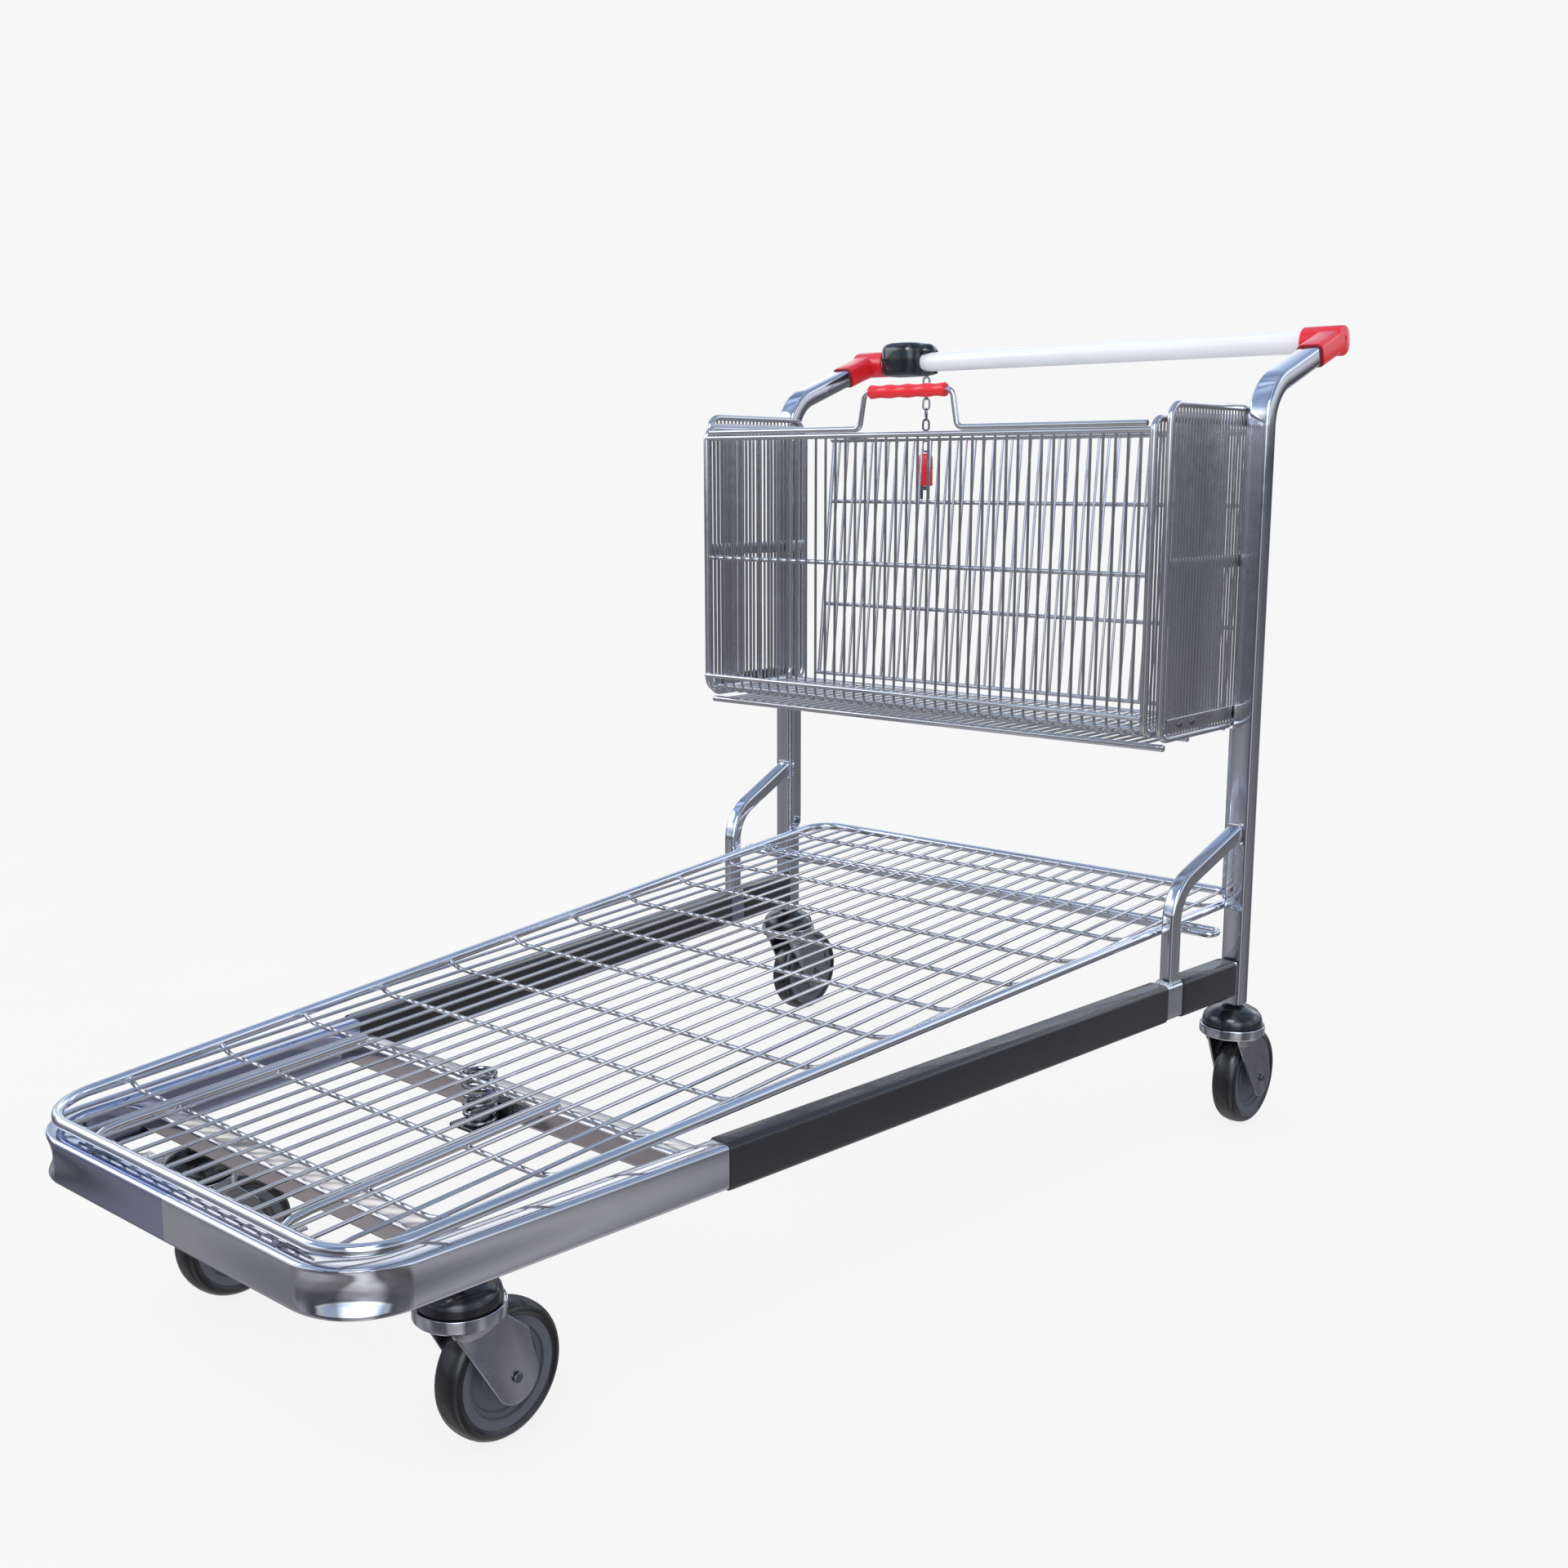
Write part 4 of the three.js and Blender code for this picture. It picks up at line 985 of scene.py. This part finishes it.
def floor():
    mesh = bpy.data.meshes.new("floor")
    r = 30.0
    mesh.from_pydata([(-r, -r, 0), (r, -r, 0), (r, r, 0), (-r, r, 0)], [], [(0, 1, 2, 3)])
    m = Nodes("floor")
    m.link(m.ramp(m.noise(2), [(0.2, (0.08, 0.08, 0.08)), (0.8, (0.09, 0.09, 0.09))]),
           m.shader.inputs["Base Color"])
    m.shader.inputs["Roughness"].default_value = 1.0
    m.shader.inputs["Specular IOR Level"].default_value = 0.0
    m.shader.inputs["Emission Color"].default_value = (0.93, 0.93, 0.935, 1)
    m.shader.inputs["Emission Strength"].default_value = 0.91
    mesh.materials.append(m.material)
    obj = bpy.data.objects.new("floor", mesh)
    bpy.context.scene.collection.objects.link(obj)
    obj.location.z = -0.0005
    obj.visible_glossy = False


def sky_colour(tree, place):
    """Colour of the reflected surroundings by height, from straight down (-1) to straight up (1)."""
    split = tree.nodes.new("ShaderNodeSeparateXYZ")
    tree.links.new(place, split.inputs["Vector"])
    height = tree.nodes.new("ShaderNodeMapRange")
    height.inputs["From Min"].default_value = -1
    tree.links.new(split.outputs["Z"], height.inputs["Value"])
    sky = tree.nodes.new("ShaderNodeValToRGB")
    stops = [
        (-1.0, (0.42, 0.41, 0.42)), (-0.55, (0.30, 0.29, 0.31)), (-0.15, (0.26, 0.255, 0.285)),
        (-0.03, (0.19, 0.195, 0.23)), (0.02, (0.13, 0.145, 0.18)), (0.08, (1.0, 1.0, 1.05)),
        (0.17, (0.52, 0.68, 0.93)), (0.30, (0.85, 0.92, 1.0)), (0.42, (1.3, 1.3, 1.3)),
        (0.58, (0.42, 0.55, 0.80)), (0.80, (0.34, 0.46, 0.70)), (1.0, (0.48, 0.58, 0.78)),
    ]
    for i, (at, colour) in enumerate(stops):
        position = (at + 1) / 2
        elements = sky.color_ramp.elements
        stop = elements[i] if i < 2 else elements.new(position)
        stop.position = position
        stop.color = (*colour, 1)
    tree.links.new(height.outputs["Result"], sky.inputs["Fac"])
    return sky.outputs["Color"]


def cloud_strength(tree, place):
    """A soft mottling of the reflected surroundings."""
    clouds = tree.nodes.new("ShaderNodeTexNoise")
    clouds.inputs["Scale"].default_value = 1.7
    clouds.inputs["Detail"].default_value = 1.0
    tree.links.new(place, clouds.inputs["Vector"])
    shade = tree.nodes.new("ShaderNodeMapRange")
    shade.inputs["From Min"].default_value = 0.35
    shade.inputs["From Max"].default_value = 0.65
    shade.inputs["To Min"].default_value = 0.65
    shade.inputs["To Max"].default_value = 1.35
    tree.links.new(clouds.outputs["Fac"], shade.inputs["Value"])
    return shade.outputs["Result"]


def panel_strength(tree, place):
    """Bright and dark studio panels by compass angle, the same on both sides of PANELS_FACE."""
    turned = tree.nodes.new("ShaderNodeMapping")
    turned.inputs["Rotation"].default_value = (0, 0, math.radians(90 - PANELS_FACE))
    tree.links.new(place, turned.inputs["Vector"])
    compass = tree.nodes.new("ShaderNodeTexGradient")
    compass.gradient_type = "RADIAL"
    tree.links.new(turned.outputs["Vector"], compass.inputs["Vector"])
    panels = tree.nodes.new("ShaderNodeValToRGB")
    half_turn = [(0, 2.2), (14, 1.8), (24, 0.45), (48, 0.55), (62, 1.0), (108, 1.0), (122, 0.5),
                 (136, 1.7), (150, 0.6), (162, 1.0), (180, 1.0)]
    around = [(180 - a, b) for a, b in reversed(half_turn)] + [(180 + a, b) for a, b in half_turn[1:]]
    for i, (angle, brightness) in enumerate(around):
        elements = panels.color_ramp.elements
        stop = elements[i] if i < 2 else elements.new(angle / 360)
        stop.position = angle / 360
        stop.color = (brightness, brightness, brightness, 1)
    tree.links.new(compass.outputs["Fac"], panels.inputs["Fac"])
    return panels.outputs["Color"]


def world():
    """White to the eye and to matt surfaces. Reflections show a soft sky over grey ground."""
    made = bpy.data.worlds.new("studio")
    made.use_nodes = True
    tree = made.node_tree
    tree.nodes.clear()
    place = tree.nodes.new("ShaderNodeTexCoord").outputs["Generated"]
    strength = tree.nodes.new("ShaderNodeMath")
    strength.operation = "MULTIPLY"
    tree.links.new(cloud_strength(tree, place), strength.inputs[0])
    tree.links.new(panel_strength(tree, place), strength.inputs[1])
    reflected = tree.nodes.new("ShaderNodeBackground")
    tree.links.new(sky_colour(tree, place), reflected.inputs["Color"])
    tree.links.new(strength.outputs["Value"], reflected.inputs["Strength"])
    plain = tree.nodes.new("ShaderNodeBackground")
    plain.inputs["Color"].default_value = (0.93, 0.93, 0.935, 1)
    plain.inputs["Strength"].default_value = 1.0
    path = tree.nodes.new("ShaderNodeLightPath")
    mix = tree.nodes.new("ShaderNodeMixShader")
    out = tree.nodes.new("ShaderNodeOutputWorld")
    tree.links.new(path.outputs["Is Glossy Ray"], mix.inputs["Fac"])
    tree.links.new(plain.outputs["Background"], mix.inputs[1])
    tree.links.new(reflected.outputs["Background"], mix.inputs[2])
    tree.links.new(mix.outputs["Shader"], out.inputs["Surface"])
    bpy.context.scene.world = made


def area_light(name, at, aim, size, watts):
    data = bpy.data.lights.new(name, "AREA")
    data.shape, data.size, data.energy = "DISK", size, watts
    obj = bpy.data.objects.new(name, data)
    bpy.context.scene.collection.objects.link(obj)
    obj.location = at
    obj.rotation_mode = "QUATERNION"
    obj.rotation_quaternion = (Vector(aim) - Vector(at)).to_track_quat("-Z", "Y")


camera()
floor()
world()
area_light("key", (1.5, -3.0, 3.6), (0, 0, 0.5), 2.2, 60)
area_light("fill", (-3.2, -1.5, 2.4), (0, 0, 0.5), 2.5, 25)
bpy.context.scene.view_settings.view_transform = "Standard"
